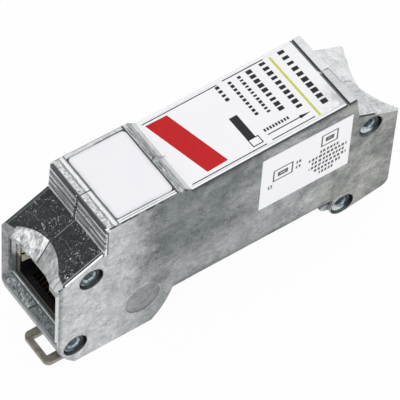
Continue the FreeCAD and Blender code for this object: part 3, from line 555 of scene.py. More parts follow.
    def lay_hollow(self):
        """Streaked hollow behind the plate, its light ramp and the chips at the seam."""
        across = (self.x.band(PLATE_HIGH.x + 0.3, FILM_LOW.x + 0.05, 0.1) * self.z.rise(27.5, 28.0)
                  * self.nz.rise(0.2, 0.4) * self.reach.fall(8.9, 9.3))
        self.lay(across, self.vary(150, streaks=290, blotches=110, mottle=130))
        self.lay(across * self.x.band(HOLLOW_FRONT, HOLLOW_FRONT + 0.5, 0.15), self.vary(166, streaks=150))
        ramp = self.vary(self.x, blotches=0.8).rise(-17.55, -17.3)
        self.lay(across * ramp, self.vary(214, streaks=90))
        self.lay(across * self.x.rise(-16.5, -16.2), 236)
        for start, end, width, level in HOLLOW_CHIPS:
            self.lay(across * self.stroke(self.x, self.y, start, end, width), level)

    def lay_step(self):
        """Face of the step: grey with dark and light lines along it, and a ragged crack at the seam."""
        face = (self.x.band(*STEP_X, 0.1) * self.z.rise(*STEP_FOOT)
                * self.nz.fall(0.5, 0.7) * (1 - self.side))
        fine = self.noise(0.42, 3, 0.6, vector=self.stretch(1.0, 0.07, 1.0))
        deep = self.z.fall(23.5, 27.5)
        self.lay(face, self.vary(160 + deep * 24 + fine.swing(460), blotches=130))
        wave = self.vary(self.z, blotches=0.3)
        for low, high, level in STEP_LINES:
            line = face * wave.band(low, high, 0.08) * 0.85
            self.lay(line, self.vary(level + deep * 20, streaks=140, mottle=90))
        chipped = face * self.blotches.rise(0.4, 0.5)
        for start, end, beside in STEP_CRACK:
            lit = [(y + beside, z) for y, z in (start, end)]
            self.lay(chipped * self.stroke(self.y, self.z, *lit, 0.34), 238)
            self.lay(face * self.stroke(self.y, self.z, start, end, 0.48), 26)

    def lay_slope(self):
        """Polished slope over the front socket: near black as a painted dark reflection, with crowds of
        specks and fine scratches.
        """
        tilt = self.nz.band(*SLOPE_UP, 0.015) * (-self.nx).rise(*SLOPE_ALONG)
        slope = tilt * self.x.fall(-35.75, -35.6)
        ear_line = self.half(EAR_LINE, EAR_LINE - 0.7)
        ears = ((self.x + self.reach * 0.25).fall(ear_line - 0.12, ear_line + 0.12)
                * self.reach.rise(6.5, 6.9))
        crowd = self.vary(self.noise(3.4, 4, 0.65), blotches=0.4).rise(0.40, 0.66)
        dots = self.cells(0.42).fall(0.2, 0.5)
        dust = self.noise(0.34, 3, 0.7).rise(0.52, 0.66)
        curved = self.noise(1.5, 1, 0.5, 0.3, vector=self.stretch(1.0, 0.2, 1.0, (0, 0, 0.7)))
        hairs = curved.thread(0.016) * self.noise(1.6, 2, 0.5).rise(0.46, 0.58)
        # Near black base: a painted dark reflection on the polished slope.
        base = self.vary(self.looks.slope_dark_reflection + self.noise(4.5, 4, 0.6).swing(60), mottle=60)
        sparks = dots * self.mottle.rise(0.38, 0.6) * 180 + dust * 120
        shine = sparks * (0.24 + crowd * 0.8) + hairs * 105
        self.lay(slope, base + shine * self.looks.specks)
        self.lay(slope * self.reach.band(8.72, 8.94, 0.05), self.half(150, 96))
        self.lay(slope * self.reach.band(8.98, 9.22, 0.05), 46)
        self.lay(slope * self.reach.rise(9.26, 9.3), self.half(186, 60))
        self.lay(slope * ears, self.vary(self.half(192, 132), mottle=110))
        self.lay(slope * ears * self.stroke(self.x, self.y, *EAR_SEAM), 118)
        self.slope = slope * (1 - ears)
        chipped_edge = self.nz.rise(0.3, 0.4) * self.reach.rise(*SIDE_REACH) * self.x.fall(-44.4, -44.0)
        self.lay(chipped_edge * self.mottle.rise(0.4, 0.5), 44)
        ear_wall = (self.x.fall(-43.0, -42.6) * self.z.rise(16.4, 16.6) * self.reach.band(6.8, 7.2)
                    * abs(self.ny).rise(0.6, 0.8))
        self.lay(ear_wall, self.vary(146, blotches=60))

    def lay_scoops(self):
        """Thumb scoops: light and rough, with soft spots; the near half darker as painted shade and the far
        half lighter as a painted highlight.
        """
        scoop = (self.x.fall(-40.6, -40.2) * self.z.rise(15.3, 15.8) * (1 - self.slope)
                 * self.reach.fall(6.9, 7.1) * self.nx.rise(-0.97, -0.9) * self.nz.rise(-0.2, 0.1))
        spots = self.noise(1.3, 5, 0.66, 0.8, vector=self.stretch(0.7, 1.0, 0.45))
        drips = self.noise(0.5, 4, 0.65, vector=self.stretch(0.5, 1.0, 0.2))
        # The far half painted lighter as a painted highlight, the near half darker as painted shade.
        if self.near_half:
            self.lay(scoop, 166 + spots.swing(230) + drips.swing(110))
        else:
            self.lay(scoop, 210 + spots.swing(430) + drips.swing(240) + self.reach.rise(0, 6) * -22)
        self.lay(scoop * self.reach.fall(0.06, 0.16), 26)

    def lay_front_mouth(self):
        """Funnel round the front socket: dull cheeks, oily sill with a bright line, worn rim below it."""
        mouth = self.x.band(*MOUTH_X, 0.05) * (1 - self.side)
        smear = self.noise(1.25, 5, 0.7, 1.2)
        sill = mouth * self.z.band(*SILL_Z, 0.08) * self.nz.rise(0.1, 0.3)
        low, grip = self.half((98, 190), (124, 400))
        self.lay(sill, self.vary(low + smear.swing(grip), mottle=190))
        self.shift(sill * self.grain.rise(0.56, 0.66) * self.blotches.rise(0.4, 0.55), 70)
        self.lay(sill * self.z.band(3.9, 4.06, 0.04), 72)
        self.lay(sill * self.z.band(4.14, 4.3, 0.04), self.vary(190, mottle=160))
        self.lay(sill * self.z.rise(4.34, 4.42), 78)
        if self.near_half:
            self.lay(sill * self.stroke(self.x, self.y, *SILL_SCRATCH), 44)
        rim = mouth * self.z.fall(2.2, 2.35)
        worn = (self.z + smear.swing(2.4)).fall(0.9, 1.5)
        self.lay(rim, self.vary(94 + smear.swing(230), mottle=90))
        self.lay(rim * worn, self.vary(160, mottle=120))
        cheek = (mouth * self.z.band(*CHEEK_Z, 0.2) * abs(self.ny).rise(0.3, 0.5)
                 * self.reach.fall(SIDE_EDGE, SIDE_EDGE + 0.15))
        drips = self.noise(0.5, 4, 0.65, 0.3, vector=self.stretch(1.0, 1.0, 0.22))
        lit = (self.z + smear.swing(2.5)).rise(9.0, 11.4)
        self.lay(cheek, 146 + smear.swing(150) + drips.swing(70))
        self.lay(cheek * self.x.rise(-45.25, -45.1), 102 + smear.swing(200))
        self.lay(cheek * self.x.rise(-44.74, -44.66), 84 + lit * 96 + drips.swing(150))
        self.lay(cheek * self.x.band(-44.92, -44.72, 0.05) * self.z.rise(7.5, 9.0), 46)
        self.oily = sill.either(rim * 0.5)

    def lay_rear(self):
        """Rim and slope at the rear: light, greyer on the near half, with a double line before them."""
        tops = self.upward * self.x.rise(FILM_HIGH.x - 0.1, FILM_HIGH.x)
        low, grip = self.half((200, 40), (214, 26))
        lines = self.noise(0.5, 3, 0.6, vector=self.stretch(0.12, 1.0, 1.0))
        self.lay(tops, self.vary(low + lines.swing(grip * 0.7), blotches=grip * 2))
        slope = self.nz.band(*SLOPE_UP, 0.015) * self.nx.rise(*SLOPE_ALONG)
        scoop = self.x.rise(26.5, 27.5) * self.z.rise(15.6, 16.0) * self.nz.rise(0.2, 0.4) * (1 - slope)
        cast = slope.either(scoop)
        soft = self.noise(2.2, 5, 0.65, 0.5)
        self.lay(cast, self.vary(self.half(218, 232) + soft.swing(110), mottle=60))
        self.shift(cast * self.noise(0.9, 3, 0.6, 1.2).thread(0.035), self.half(-44, -26))
        for edge in GROOVE_EDGES:
            line = self.x.band(edge - 0.12, edge + 0.12, 0.06) * self.z.rise(28.4, 28.6)
            self.lay(line * (1 - self.side), self.vary(104, streaks=80))
        high = self.z.rise(*RIM_TOP)
        bead = self.reach.fall(0.25, 0.45) * self.x.band(GROOVE_FRONT - 0.2, GROOVE_FRONT + 0.5, 0.05)
        self.lay(bead * high, 232)
        if self.near_half:
            first, second = (self.stroke(self.x, self.y, *part) for part in GROOVE_OUTLINE)
            self.lay(first.either(second) * high * 0.7, 128)
        self.lay(self.x.band(26.4, 28.6, 0.1) * self.reach.fall(0.1, 0.2) * slope, 90)

    def lay_hook(self):
        """Nose of the rail hook: rough, with painted shade under the seat."""
        nose = self.patch(HOOK_X, HOOK_Z, 0.1) * self.reach.fall(8.5, 8.6)
        shade = self.vary(self.z, blotches=2.0).rise(-2.7, -1.9)
        self.lay(nose, self.vary(172 + shade * -110, mottle=330))

    def lay_rivet_seats(self):
        """Recesses round the rivet heads: painted shade in blue-black, with painted light on their upward
        faces and lower wall.
        """
        off = self.rivet_distance()
        below_side = 1 - self.side * self.reach.rise(SIDE_EDGE, SIDE_EDGE + 0.15)
        sunk = off.fall(SEAT_RADIUS + 0.01, SEAT_RADIUS + 0.05) * below_side
        lower = self.vary(self.rivet_lean(), mottle=0.9).fall(-0.75, -0.3)
        # Painted shade in the recess, lighter where it faces up and on its lower wall as painted light.
        self.lay(sunk, 46 + self.vary(self.nz.rise(0.3, 0.9) * 60 + lower * 40, mottle=80))
        # Painted shade in the gap between the head and the recess wall.
        self.lay(sunk * off.rise(HEAD_RADIUS - 0.04, HEAD_RADIUS + 0.04) * self.nz.fall(0.3, 0.6), 40)
        halo = self.side * off.band(SEAT_RADIUS - 0.01, SEAT_RADIUS + 0.21, 0.08)
        self.shift(halo * self.blotches.rise(0.4, 0.55), -40)

    def lay_seam(self):
        """Parting line: light on the polished slope, dark on the platform."""
        line = self.reach.fall(0.08, 0.16)
        self.lay(line * self.slope, 150)
        self.lay(line * self.upward * self.z.rise(*PLATFORM_TOP) * self.x.fall(-31, -30), 62)

    def finish(self):
        stops = [(level / 255, tint(*shade)) for level, shade in CAST_TINTS]
        warm = self.side * self.vary(self.x, clouds=20).rise(12, 20)
        skin = self.mix(warm, self.ramp(self.level / 255, *stops), WARM_CAST, "MULTIPLY")
        skin = self.mix(self.oily * self.blotches.rise(0.4, 0.6), skin, OILY_CAST, "MULTIPLY")
        return self.cover(skin, (self.slope * -0.3 + self.blotches, 0.34, 0.66),
                          (self.grain * 0.5 + self.blotches * 0.5, 0.12, 0.35))


def casting_finish(name, near_half, looks):
    metal = Casting(name, near_half, looks)
    metal.lay_sides()
    metal.lay_casting_mark()
    metal.lay_platform()
    metal.lay_hollow()
    metal.lay_side_edges()
    metal.lay_step()
    metal.lay_slope()
    metal.lay_scoops()
    metal.lay_front_mouth()
    metal.lay_rear()
    metal.lay_hook()
    metal.lay_rivet_seats()
    metal.lay_seam()
    return metal.finish()


def rivet_finish():
    """Plated steel: pale bore and dish, with painted shade in dark blue-grey round its outer part and
    towards its upper rear.
    """
    steel = Finish("rivet plated steel", metallic=0.5, roughness=0.32)
    blotch = steel.noise(0.55, 5, 0.7, 1.0)
    off, lean = steel.rivet_distance(), steel.rivet_lean()
    rolled = off.band(1.5, 2.2, 0.12) * (0.4 + lean)
    outline = off.band(2.25, 2.6, 0.08)
    rear = steel.x.rise(0, 1) * 0.12
    # Painted shade: darker towards the outer part and the upper rear, broken by blotches.
    tone = 0.22 + rear + rolled * 1.6 + outline + lean * 0.24 + blotch.swing(1.7)
    skin = steel.ramp(tone, (0.0, tint(206, 215, 219)), (0.35, tint(126, 144, 156)),
                      (0.75, tint(36, 48, 57)))
    return steel.cover(skin, (blotch, 0.22, 0.45), (steel.noise(0.4, 4, 0.6), 0.05, 0.4))


def plate_finish():
    """Write-on plate: off-white, with painted shade in faint grey towards its rim."""
    plate = Finish("marker plate white", roughness=0.42)
    middle = (PLATE_LOW.x + PLATE_HIGH.x) / 2
    off_x = (PLATE_HIGH.x - PLATE_LOW.x) / 2 - abs(plate.x - middle)
    off_y = PLATE_HIGH.y - abs(plate.y)
    inward = plate.math("MINIMUM", off_x, off_y) + (plate.noise(2.2, 3, 0.5) - 0.5) * 0.5
    body = plate.mix(plate.noise(5, 3, 0.5), tint(238, 237, 243), tint(241, 240, 245))
    # Painted shade along the rim: grey within a millimetre of it, darker at the very edge.
    body = plate.mix(inward.fall(0.0, 0.9) * 0.5, body, tint(206, 204, 210))
    body = plate.mix(inward.fall(-0.1, 0.2), body, tint(150, 150, 156))
    return plate.cover(body, relief=(plate.noise(0.3, 3, 0.5), 0.02, 0.2))


def film_surface(film, body):
    """The sheen and fine grain that both films have, over a body colour."""
    return film.cover(body, (film.noise(0.5, 4, 0.6), 0.3, 0.42),
                      (film.noise(0.12, 3, 0.6), 0.01, 0.25))


def top_film_finish():
    """White printing film, with a grey patch by the groove."""
    film = Finish("top film white", roughness=0.36)
    white = film.mix(film.noise(7, 3, 0.5), tint(241, 241, 245), tint(245, 245, 248))
    patch = film.x.rise(13.5, 19.4) * film.y.fall(-7.0, -1.0) * film.noise(2.4, 5, 0.65).rise(0.35, 0.6)
    body = film.mix(patch * 0.9, white, tint(182, 183, 188))
    edge = abs(film.y).rise(8.35, 8.8)
    return film_surface(film, film.mix(edge * 0.35, body, tint(196, 198, 204)))


def side_film_finish():
    """White film with plain rows of blocks and open boxes, flush with its face."""
    film = Finish("side film white", roughness=0.36)
    printed, soft = 0.0, 0.04
    for x_low, x_high, z_low, z_high, pitch in SIDE_ROWS:
        row = film.patch((x_low, x_high), (z_low, z_high), soft)
        place = film.math("FRACT", (film.x + film.noise(2.0, 1).swing(0.9)) / pitch)
        printed = film.math("MAXIMUM", printed, row * place.rise(0.3, 0.38))
    for x_low, x_high, z_low, z_high, line in SIDE_BOXES:
        outer = film.patch((x_low, x_high), (z_low, z_high), soft)
        inner = film.patch((x_low + line, x_high - line), (z_low + line, z_high - line), soft)
        printed = film.math("MAXIMUM", printed, outer - inner)
    white = film.mix(film.noise(7, 3, 0.5), tint(249, 249, 252), tint(253, 253, 255))
    return film_surface(film, film.mix(printed * 0.95, white, tint(26, 27, 30)))


def ink_finish(name, colour):
    """Printed ink: a little unevenly laid."""
    ink = Finish(name, roughness=0.4)
    ink.shader["Specular IOR Level"].default_value = 0.2
    deep = tuple(part * 0.82 for part in colour[:3]) + (1.0,)
    body = ink.mix(ink.noise(0.5, 5, 0.7).rise(0.35, 0.7), colour, deep)
    return ink.cover(body, (ink.noise(0.3, 3, 0.6), 0.32, 0.5), (ink.noise(0.1, 2, 0.5), 0.005, 0.2))


def sheet_finish(name, dark, light, roughness=0.34, size=0.9, metallic=0.8):
    """Sheet metal with fine drawn lines and soft stains."""
    metal = Finish(name, metallic=metallic, roughness=roughness)
    drawn = metal.noise(0.16, 3, 0.6, vector=metal.stretch(0.15, 1.0, 1.0))
    tone = metal.noise(size * 2.4, 5, 0.65, 0.5)
    skin = metal.ramp(drawn * 0.4 + tone * 0.6, (0.34, dark), (0.62, light))
    return metal.cover(skin, (tone, roughness - 0.1, roughness + 0.14), (drawn, 0.02, 0.3))


def shield_finish():
    """Tinned shield: dull brown-grey lip round the socket that turns light towards its top."""
    tin = Finish("shield tin", metallic=0.7, roughness=0.34)
    drawn = tin.noise(0.2, 4, 0.6, vector=tin.stretch(0.3, 1.0, 0.3))
    tone = tin.noise(1.4, 5, 0.65, 0.5)
    level = drawn * 0.4 + tone * 0.6
    bright = tin.ramp(level, (0.34, tint(120, 116, 106)), (0.62, tint(214, 212, 204)))
    dull = tin.ramp(level, (0.36, tint(32, 30, 26)), (0.62, tint(84, 78, 68)))
    front, rear = box_mm("front_jack_shield")[0].x, box_mm("rear_jack_shield")[1].x
    middle, half_length = (front + rear) / 2, (rear - front) / 2
    lit_lip = abs(tin.x - middle).rise(half_length - 1.2, half_length - 0.9)
    skin = tin.mix(lit_lip * tin.z.fall(10.4, 11.2), bright, dull)
    return tin.cover(skin, (tone, 0.26, 0.5), (drawn, 0.02, 0.3))


def moulding_finish(name, dark, light, roughness=0.4):
    """Moulded plastic with a fine spark-eroded grain."""
    resin = Finish(name, roughness=roughness)
    body = resin.mix(resin.noise(1.6, 4, 0.6), dark, light)
    return resin.cover(body, (resin.noise(0.5, 3, 0.6), roughness - 0.08, roughness + 0.1),
                       (resin.noise(0.12, 3, 0.6), 0.02, 0.3))


def board_finish():
    """Lacquered board: copper tracks show lighter through the green."""
    board = Finish("board lacquer green", roughness=0.28)
    tracks = board.value("ShaderNodeTexBrick", {
        "Vector": board.place, "Scale": 0.45, "Mortar Size": 0.06, "Color1": (1, 1, 1, 1),
        "Color2": (0.7, 0.7, 0.7, 1), "Mortar": (0, 0, 0, 1)}, "Color")
    lacquer = board.mix(tracks, tint(14, 62, 30), tint(32, 104, 52))
    return board.cover(lacquer, relief=(tracks, 0.03, 0.5))


def tube_finish():
    """Pale ceramic between tinned end caps."""
    tube = Finish("tube ceramic and caps", roughness=0.35)
    low, high = box_mm("gas_tubes")
    cap = abs(tube.y - (low.y + high.y) / 2).rise(2.36, 2.42)
    speck = tube.noise(0.5, 4, 0.6)
    ceramic = tube.mix(speck, tint(222, 214, 202), tint(238, 232, 222))
    tin = tube.mix(speck, tint(150, 150, 146), tint(204, 203, 198))
    feed(tube.tree, tube.shader["Metallic"], cap)
    return tube.cover(tube.mix(cap, ceramic, tin), relief=(speck, 0.02, 0.3))


def dress(node, material):
    """Gives a CAD node its finish."""
    slots = NODES[node].material_slots
    if not slots:
        NODES[node].data.materials.append(material)
    for slot in slots:
        slot.material = material


# Meshes

# How deep the ink is sunk into the film, in mm
INK_BED = 0.01


def new_piece(name, mesh, material):
    """A finished piece of the housing."""
    piece = bpy.data.objects.new(name, mesh)
    bpy.context.scene.collection.objects.link(piece)
    mesh.materials.clear()
    mesh.materials.append(material)
    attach(piece, HOUSING)
    return piece


def add_slab(shape, outline, thickness):
    """Closed flat slab, whose outline gives its lower corners in mm."""
    top = Vector((0, 0, thickness))
    lower = [shape.verts.new(corner * MM) for corner in outline]
    upper = [shape.verts.new((corner + top) * MM) for corner in outline]
    shape.faces.new(upper)
    shape.faces.new(list(reversed(lower)))
    for index, corner in enumerate(lower):
        following = (index + 1) % len(lower)
        shape.faces.new((corner, lower[following], upper[following], upper[index]))


def finished_mesh(name, shape):
    bmesh.ops.recalc_face_normals(shape, faces=shape.faces)
    mesh = bpy.data.meshes.new(name)
    shape.to_mesh(mesh)
    shape.free()
    return mesh


def on_film(x, y):
    """A place on the top film, sunk a little so that the ink has no gap under it."""
    return Vector((x, y, film_height(x) - INK_BED))


def film_shape(name, outlines, thickness):
    shape = bmesh.new()
    for outline in outlines:
        add_slab(shape, [on_film(x, y) for x, y in outline], thickness + INK_BED)
    return finished_mesh(name, shape)


def bar(x_low, x_high, y_low, y_high):
    return [(x_low, y_low), (x_high, y_low), (x_high, y_high), (x_low, y_high)]


def ring_bars(x_low, x_high, y_low, y_high, width):
    """Four bars that make an open box."""
    return [bar(x_low, x_high, y_low, y_low + width), bar(x_low, x_high, y_high - width, y_high),
            bar(x_low, x_low + width, y_low + width, y_high - width),
            bar(x_high - width, x_high, y_low + width, y_high - width)]


# Print on the top film, as places in X and Y in mm
RED_FIELD = ((-15.05, 7.7), (-11.4, -7.55), (-6.6, -7.4), (-10.2, 7.6))
LIME_LINE = (13.65, 14.15, -8.5, 8.15)
# Thin rules: from and to in X, place in Y, width against the others
RULES = ((-15.4, 1.7, 8.25, 1), (3.1, 12.6, 8.45, 1), (-15.4, 1.6, -8.4, 1),
         (3.0, 12.9, -8.2, 1), (3.0, 10.9, -6.75, 1.1))
ARROW_HEAD = ((10.4, -7.1), (12.9, -6.75), (10.4, -6.35))
DARK_BOX = (-1.0, 0.8, -5.9, 0.35)
OPEN_BOX = (-1.0, 1.4, -7.7, -5.75)
# Small blocks beside the arrow: first edge, width and spacing in X, from and to in Y, how many
ARROW_BLOCKS = (2.9, 0.4, 0.66, -5.95, -5.25, 9)
# Rows of plain blocks: front edge, height of the row, far end, blocks, spacing
ROWS = ((15.8, 1.4, 7.9, 10, 1.56), (11.2, 1.3, 7.6, 10, 1.34), (8.05, 1.25, 7.4, 9, 1.3),
        (5.95, 0.75, 7.4, 12, 0.88), (3.7, 0.75, 7.3, 10, 0.98), (1.0, 0.85, 7.6, 4, 1.1))
# Least and greatest share of the spacing that a block fills
BLOCK_SHARE = (0.42, 0.76)


def rules_and_arrow(rule):
    """Outlines of the rules, the arrow and the boxes, for this width of the rules."""
    outlines = []
    for x_low, x_high, y, share in RULES:
        half = rule * share / 2
        outlines.append(bar(x_low, x_high, y - half, y + half))
    outlines += [ARROW_HEAD, bar(*DARK_BOX)]
    outlines += ring_bars(*OPEN_BOX, rule)
    first, width, spacing, y_low, y_high, count = ARROW_BLOCKS
    for step in range(count):
        start = first + spacing * step
        outlines.append(bar(start, start + width, y_low, y_high))
    return outlines


def new_tree(name, inputs):
    """A geometry nodes tree with one geometry output and these inputs, and what they give."""
    tree = bpy.data.node_groups.new(name, "GeometryNodeTree")
    tree.interface.new_socket("Geometry", in_out="OUTPUT", socket_type="NodeSocketGeometry")
    for label, kind, default in inputs:
        socket = tree.interface.new_socket(label, in_out="INPUT", socket_type="NodeSocket" + kind)
        if default is not None:
            socket.default_value = default
    return tree, add_node(tree, "NodeGroupInput").outputs


def end_tree(tree, geometry, material):
    """Makes instances real, sets the material and passes the geometry out."""
    real = add_node(tree, "GeometryNodeRealizeInstances", {"Geometry": geometry})
    dressed = add_node(tree, "GeometryNodeSetMaterial", {"Geometry": real, "Material": material})
    add_node(tree, "NodeGroupOutput", {"Geometry": dressed})
    return tree


def block_row_tree():
    """Geometry nodes: a row of flat blocks along -Y whose widths differ at random."""
    tree, given = new_tree("Block row", (
        ("Start", "Vector", (0, 0, 0)), ("Blocks", "Int", 5), ("Spacing", "Float", 1 * MM),
        ("Height", "Float", 1 * MM), ("Thickness", "Float", 0.03 * MM), ("Seed", "Int", 1),
        ("Ink", "Material", None)))
    back = add_node(tree, "ShaderNodeMath", {0: given["Spacing"], 1: -1}, operation="MULTIPLY")
    step = add_node(tree, "ShaderNodeCombineXYZ", {"Y": back})
    line = add_node(tree, "GeometryNodeMeshLine", {
        "Count": given["Blocks"], "Start Location": given["Start"], "Offset": step})
    size = add_node(tree, "ShaderNodeCombineXYZ", {
        "X": given["Height"], "Y": given["Spacing"], "Z": given["Thickness"]})
    cube = add_node(tree, "GeometryNodeMeshCube", {"Size": size})
    least, most = BLOCK_SHARE
    share = add_node(tree, "FunctionNodeRandomValue", {
        "Min": least, "Max": most, "Seed": given["Seed"]}, data_type="FLOAT")
    scale = add_node(tree, "ShaderNodeCombineXYZ", {"X": 1, "Y": share.outputs["Value"], "Z": 1})
    blocks = add_node(tree, "GeometryNodeInstanceOnPoints", {
        "Points": line, "Instance": cube, "Scale": scale})
    return end_tree(tree, blocks, given["Ink"])


# The spring's turns, the radius of its wire in mm, and the steps along a turn and round the wire
COIL_TURNS = 5
COIL_WIRE = 0.25
COIL_STEPS = 28
WIRE_STEPS = 12


def coil_tree():
    """Geometry nodes: a round wire wound into a coil along X."""
    tree, given = new_tree("Wire coil", (
        ("Start", "Vector", None), ("Turns", "Float", COIL_TURNS), ("Radius", "Float", 2 * MM),
        ("Length", "Float", 10 * MM), ("Wire", "Float", COIL_WIRE * MM), ("Metal", "Material", None)))
    wound = add_node(tree, "GeometryNodeCurveSpiral", {
        "Resolution": COIL_STEPS, "Rotations": given["Turns"], "Start Radius": given["Radius"],
        "End Radius": given["Radius"], "Height": given["Length"]})
    laid = add_node(tree, "GeometryNodeTransform", {
        "Geometry": wound, "Translation": given["Start"], "Rotation": (0, math.pi / 2, 0)})
    section = add_node(tree, "GeometryNodeCurvePrimitiveCircle", {
        "Resolution": WIRE_STEPS, "Radius": given["Wire"]})
    wire = add_node(tree, "GeometryNodeCurveToMesh", {
        "Curve": laid, "Profile Curve": section, "Fill Caps": True})
    smooth = add_node(tree, "GeometryNodeSetShadeSmooth", {"Geometry": wire})
    return end_tree(tree, smooth, given["Metal"])


def grown_mesh(name, tree, values):
    """The plain mesh that a geometry nodes tree makes with these input values."""
    seed = bpy.data.objects.new(name + " seed", bpy.data.meshes.new(name + " seed"))
    bpy.context.scene.collection.objects.link(seed)
    modifier = seed.modifiers.new("Growth", "NODES")
    modifier.node_group = tree
    for item in tree.interface.items_tree:
        if item.in_out == "INPUT":
            modifier[item.identifier] = values[item.name]
    bpy.context.view_layer.update()
    evaluated = seed.evaluated_get(bpy.context.evaluated_depsgraph_get())
    mesh = bpy.data.meshes.new_from_object(evaluated)
    mesh.name = name
    seed.modifiers.clear()
    bpy.data.objects.remove(seed)
    return mesh


def joined(name, meshes):
    shape = bmesh.new()
    for mesh in meshes:
        shape.from_mesh(mesh)
    return finished_mesh(name, shape)


def wind_spring(metal):
    """Coil spring in front of the latch's leg."""
    low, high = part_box("latch_spring")
    wire = COIL_WIRE * MM
    start = Vector((low.x + wire, (low.y + high.y) / 2, (low.z + high.z) / 2))
    values = {"Start": start, "Turns": float(COIL_TURNS), "Radius": (high.y - low.y) / 2 - wire,
              "Length": high.x - low.x - 2 * wire, "Wire": wire, "Metal": metal}
    mesh = joined("wound_spring", [grown_mesh("Coil", coil_tree(), values)])
    spring = new_piece("wound_spring", mesh, metal)
    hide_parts("latch_spring")
    joints = frame["record"]["behaviour"]["joints"]
    slide = next(joint for joint in joints if joint["child"] == "latch")
    length = high.x - low.x
    (length - max(slide["range_m"])) / length
    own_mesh(spring)


# Operators

class SURGE_OT_castings(bpy.types.Operator):
    """Give both half shells their cast skin, and the rivets their plating"""
    bl_idname = "surge.castings"
    bl_label = "Castings and rivets"

    def execute(self, context):
        looks = context.scene.surge_castings
        dress("right_housing_half", casting_finish("zinc casting near", True, looks))
        dress("left_housing_half", casting_finish("zinc casting far", False, looks))
        plated = rivet_finish()
        for name in NODES:
            if name.endswith("rivet"):
                dress(name, plated)
        return {"FINISHED"}


class SURGE_OT_films(bpy.types.Operator):
    """Give the write-on plate and both films their white skins"""
    bl_idname = "surge.films"
    bl_label = "Plate and films"

    def execute(self, context):
        dress("marker_plate", plate_finish())
        dress("top_label", top_film_finish())
        dress("side_label", side_film_finish())
        return {"FINISHED"}


class SURGE_OT_print(bpy.types.Operator):
    """Lay the fields, rules, boxes, arrow and rows of blocks on the top film"""
    bl_idname = "surge.print"
    bl_label = "Print on the top film"

    def execute(self, context):
        looks = context.scene.surge_print
        ink, rule = looks.ink / MM, looks.rule / MM
        black = ink_finish("black ink", tuple(looks.black))
        red = ink_finish("red ink", tuple(looks.red))
        lime = ink_finish("lime ink", tuple(looks.lime))
        new_piece("red_field", film_shape("red_field", [RED_FIELD], ink), red)
        new_piece("lime_line", film_shape("lime_line", [bar(*LIME_LINE)], ink), lime)
        new_piece("rules_and_arrow", film_shape("rules_and_arrow", rules_and_arrow(rule), ink),
                  black)
        tree = block_row_tree()
        rows = []
        for number, (front, height, far_end, count, spacing) in enumerate(ROWS, start=1):
            middle = front + height / 2
            rows.append(grown_mesh(f"row {number}", tree, {
                "Start": [middle * MM, far_end * MM, (film_height(middle) - INK_BED) * MM],
                "Blocks": count, "Spacing": spacing * MM, "Height": height * MM,
                "Thickness": (ink + INK_BED) * 2 * MM, "Seed": number, "Ink": black}))
        new_piece("block_rows", joined("block_rows", rows), black)
        return {"FINISHED"}


class SURGE_OT_sockets(bpy.types.Operator):
    """Finish both sockets: shields, inserts, contacts and side springs"""
    bl_idname = "surge.sockets"
    bl_label = "Sockets"

    def execute(self, context):
        tin = shield_finish()
        black = moulding_finish("insert black", tint(10, 11, 12), tint(22, 23, 25))
        # Contact gold darkened as painted shade inside the sockets.
        gold_in_painted_shade = sheet_finish("contact gold", tint(17, 13, 8), tint(42, 32, 18), 0.3, 0.5, 1.0)
        cream = sheet_finish("finger tin", tint(196, 192, 170), tint(238, 234, 214), 0.38, 0.5, 0.3)
        for end in ("front", "rear"):
            dress(f"{end}_jack_shield", tin)
            dress(f"{end}_jack_body", black)
            dress(f"{end}_jack_contacts", gold_in_painted_shade)
            dress(f"{end}_shield_springs", cream)
        return {"FINISHED"}


class SURGE_OT_board(bpy.types.Operator):
    """Finish the board, its sheet and the parts on it"""
    bl_idname = "surge.board"
    bl_label = "Board and its parts"

    def execute(self, context):
        dress("circuit_board", board_finish())
        dress("insulating_sheet", moulding_finish("sheet fibre grey", grey(84), grey(104), 0.6))
        dress("gas_tubes", tube_finish())
        dress("clamping_diodes", moulding_finish("diode black", grey(24), grey(38), 0.5))
        dress("coupling_resistors", moulding_finish("resistor black", grey(20), grey(46), 0.45))
        return {"FINISHED"}


class SURGE_OT_latch(bpy.types.Operator):
    """Finish the rail latch and wind its spring"""
    bl_idname = "surge.latch"
    bl_label = "Latch and spring"

    def execute(self, context):
        steel = sheet_finish("latch steel", tint(92, 87, 77), tint(172, 166, 153), 0.38, 1.2, 0.5)
        wire = sheet_finish("spring wire", tint(110, 110, 114), tint(186, 187, 190), 0.3, 0.5, 0.9)
        dress("rail_latch", steel)
        wind_spring(wire)
        return {"FINISHED"}


# Where the camera stands, in metres, and which way its frame points
CAMERA_PLACE = Vector((-0.25041, -0.30727, 0.52748))
CAMERA_RIGHT = Vector((0.81940, -0.57133, 0.04654))
CAMERA_DOWN = Vector((-0.43396, -0.67134, -0.60082))
CAMERA_AHEAD = Vector((0.37451, 0.47211, -0.79803))
SENSOR_WIDTH = 36

# Lamps over the part and before it: place and width in metres, power against the key light's
LAMPS = (("Overhead", Vector((0.05, 0.12, 0.6)), 0.5, 1),
         ("Front fill", Vector((-0.35, -0.45, 0.25)), 0.4, 0.9))

FLOOR_REACH = 1.5
FLOOR_GAP = 0.02 * MM
FLOOR_GREY = (0.92, 0.92, 0.92, 1)
FLOOR_WHITE_SHARE = 0.96


def seen_directly(tree):
    """1 for what the camera, gloss and glass see, 0 for what lights the part."""
    rays = add_node(tree, "ShaderNodeLightPath").outputs
    seen = rays["Is Camera Ray"]
    for kind in ("Is Glossy Ray", "Is Transmission Ray"):
        seen = add_node(tree, "ShaderNodeMath", {0: seen, 1: rays[kind]},
                        operation="ADD", use_clamp=True)
    return seen


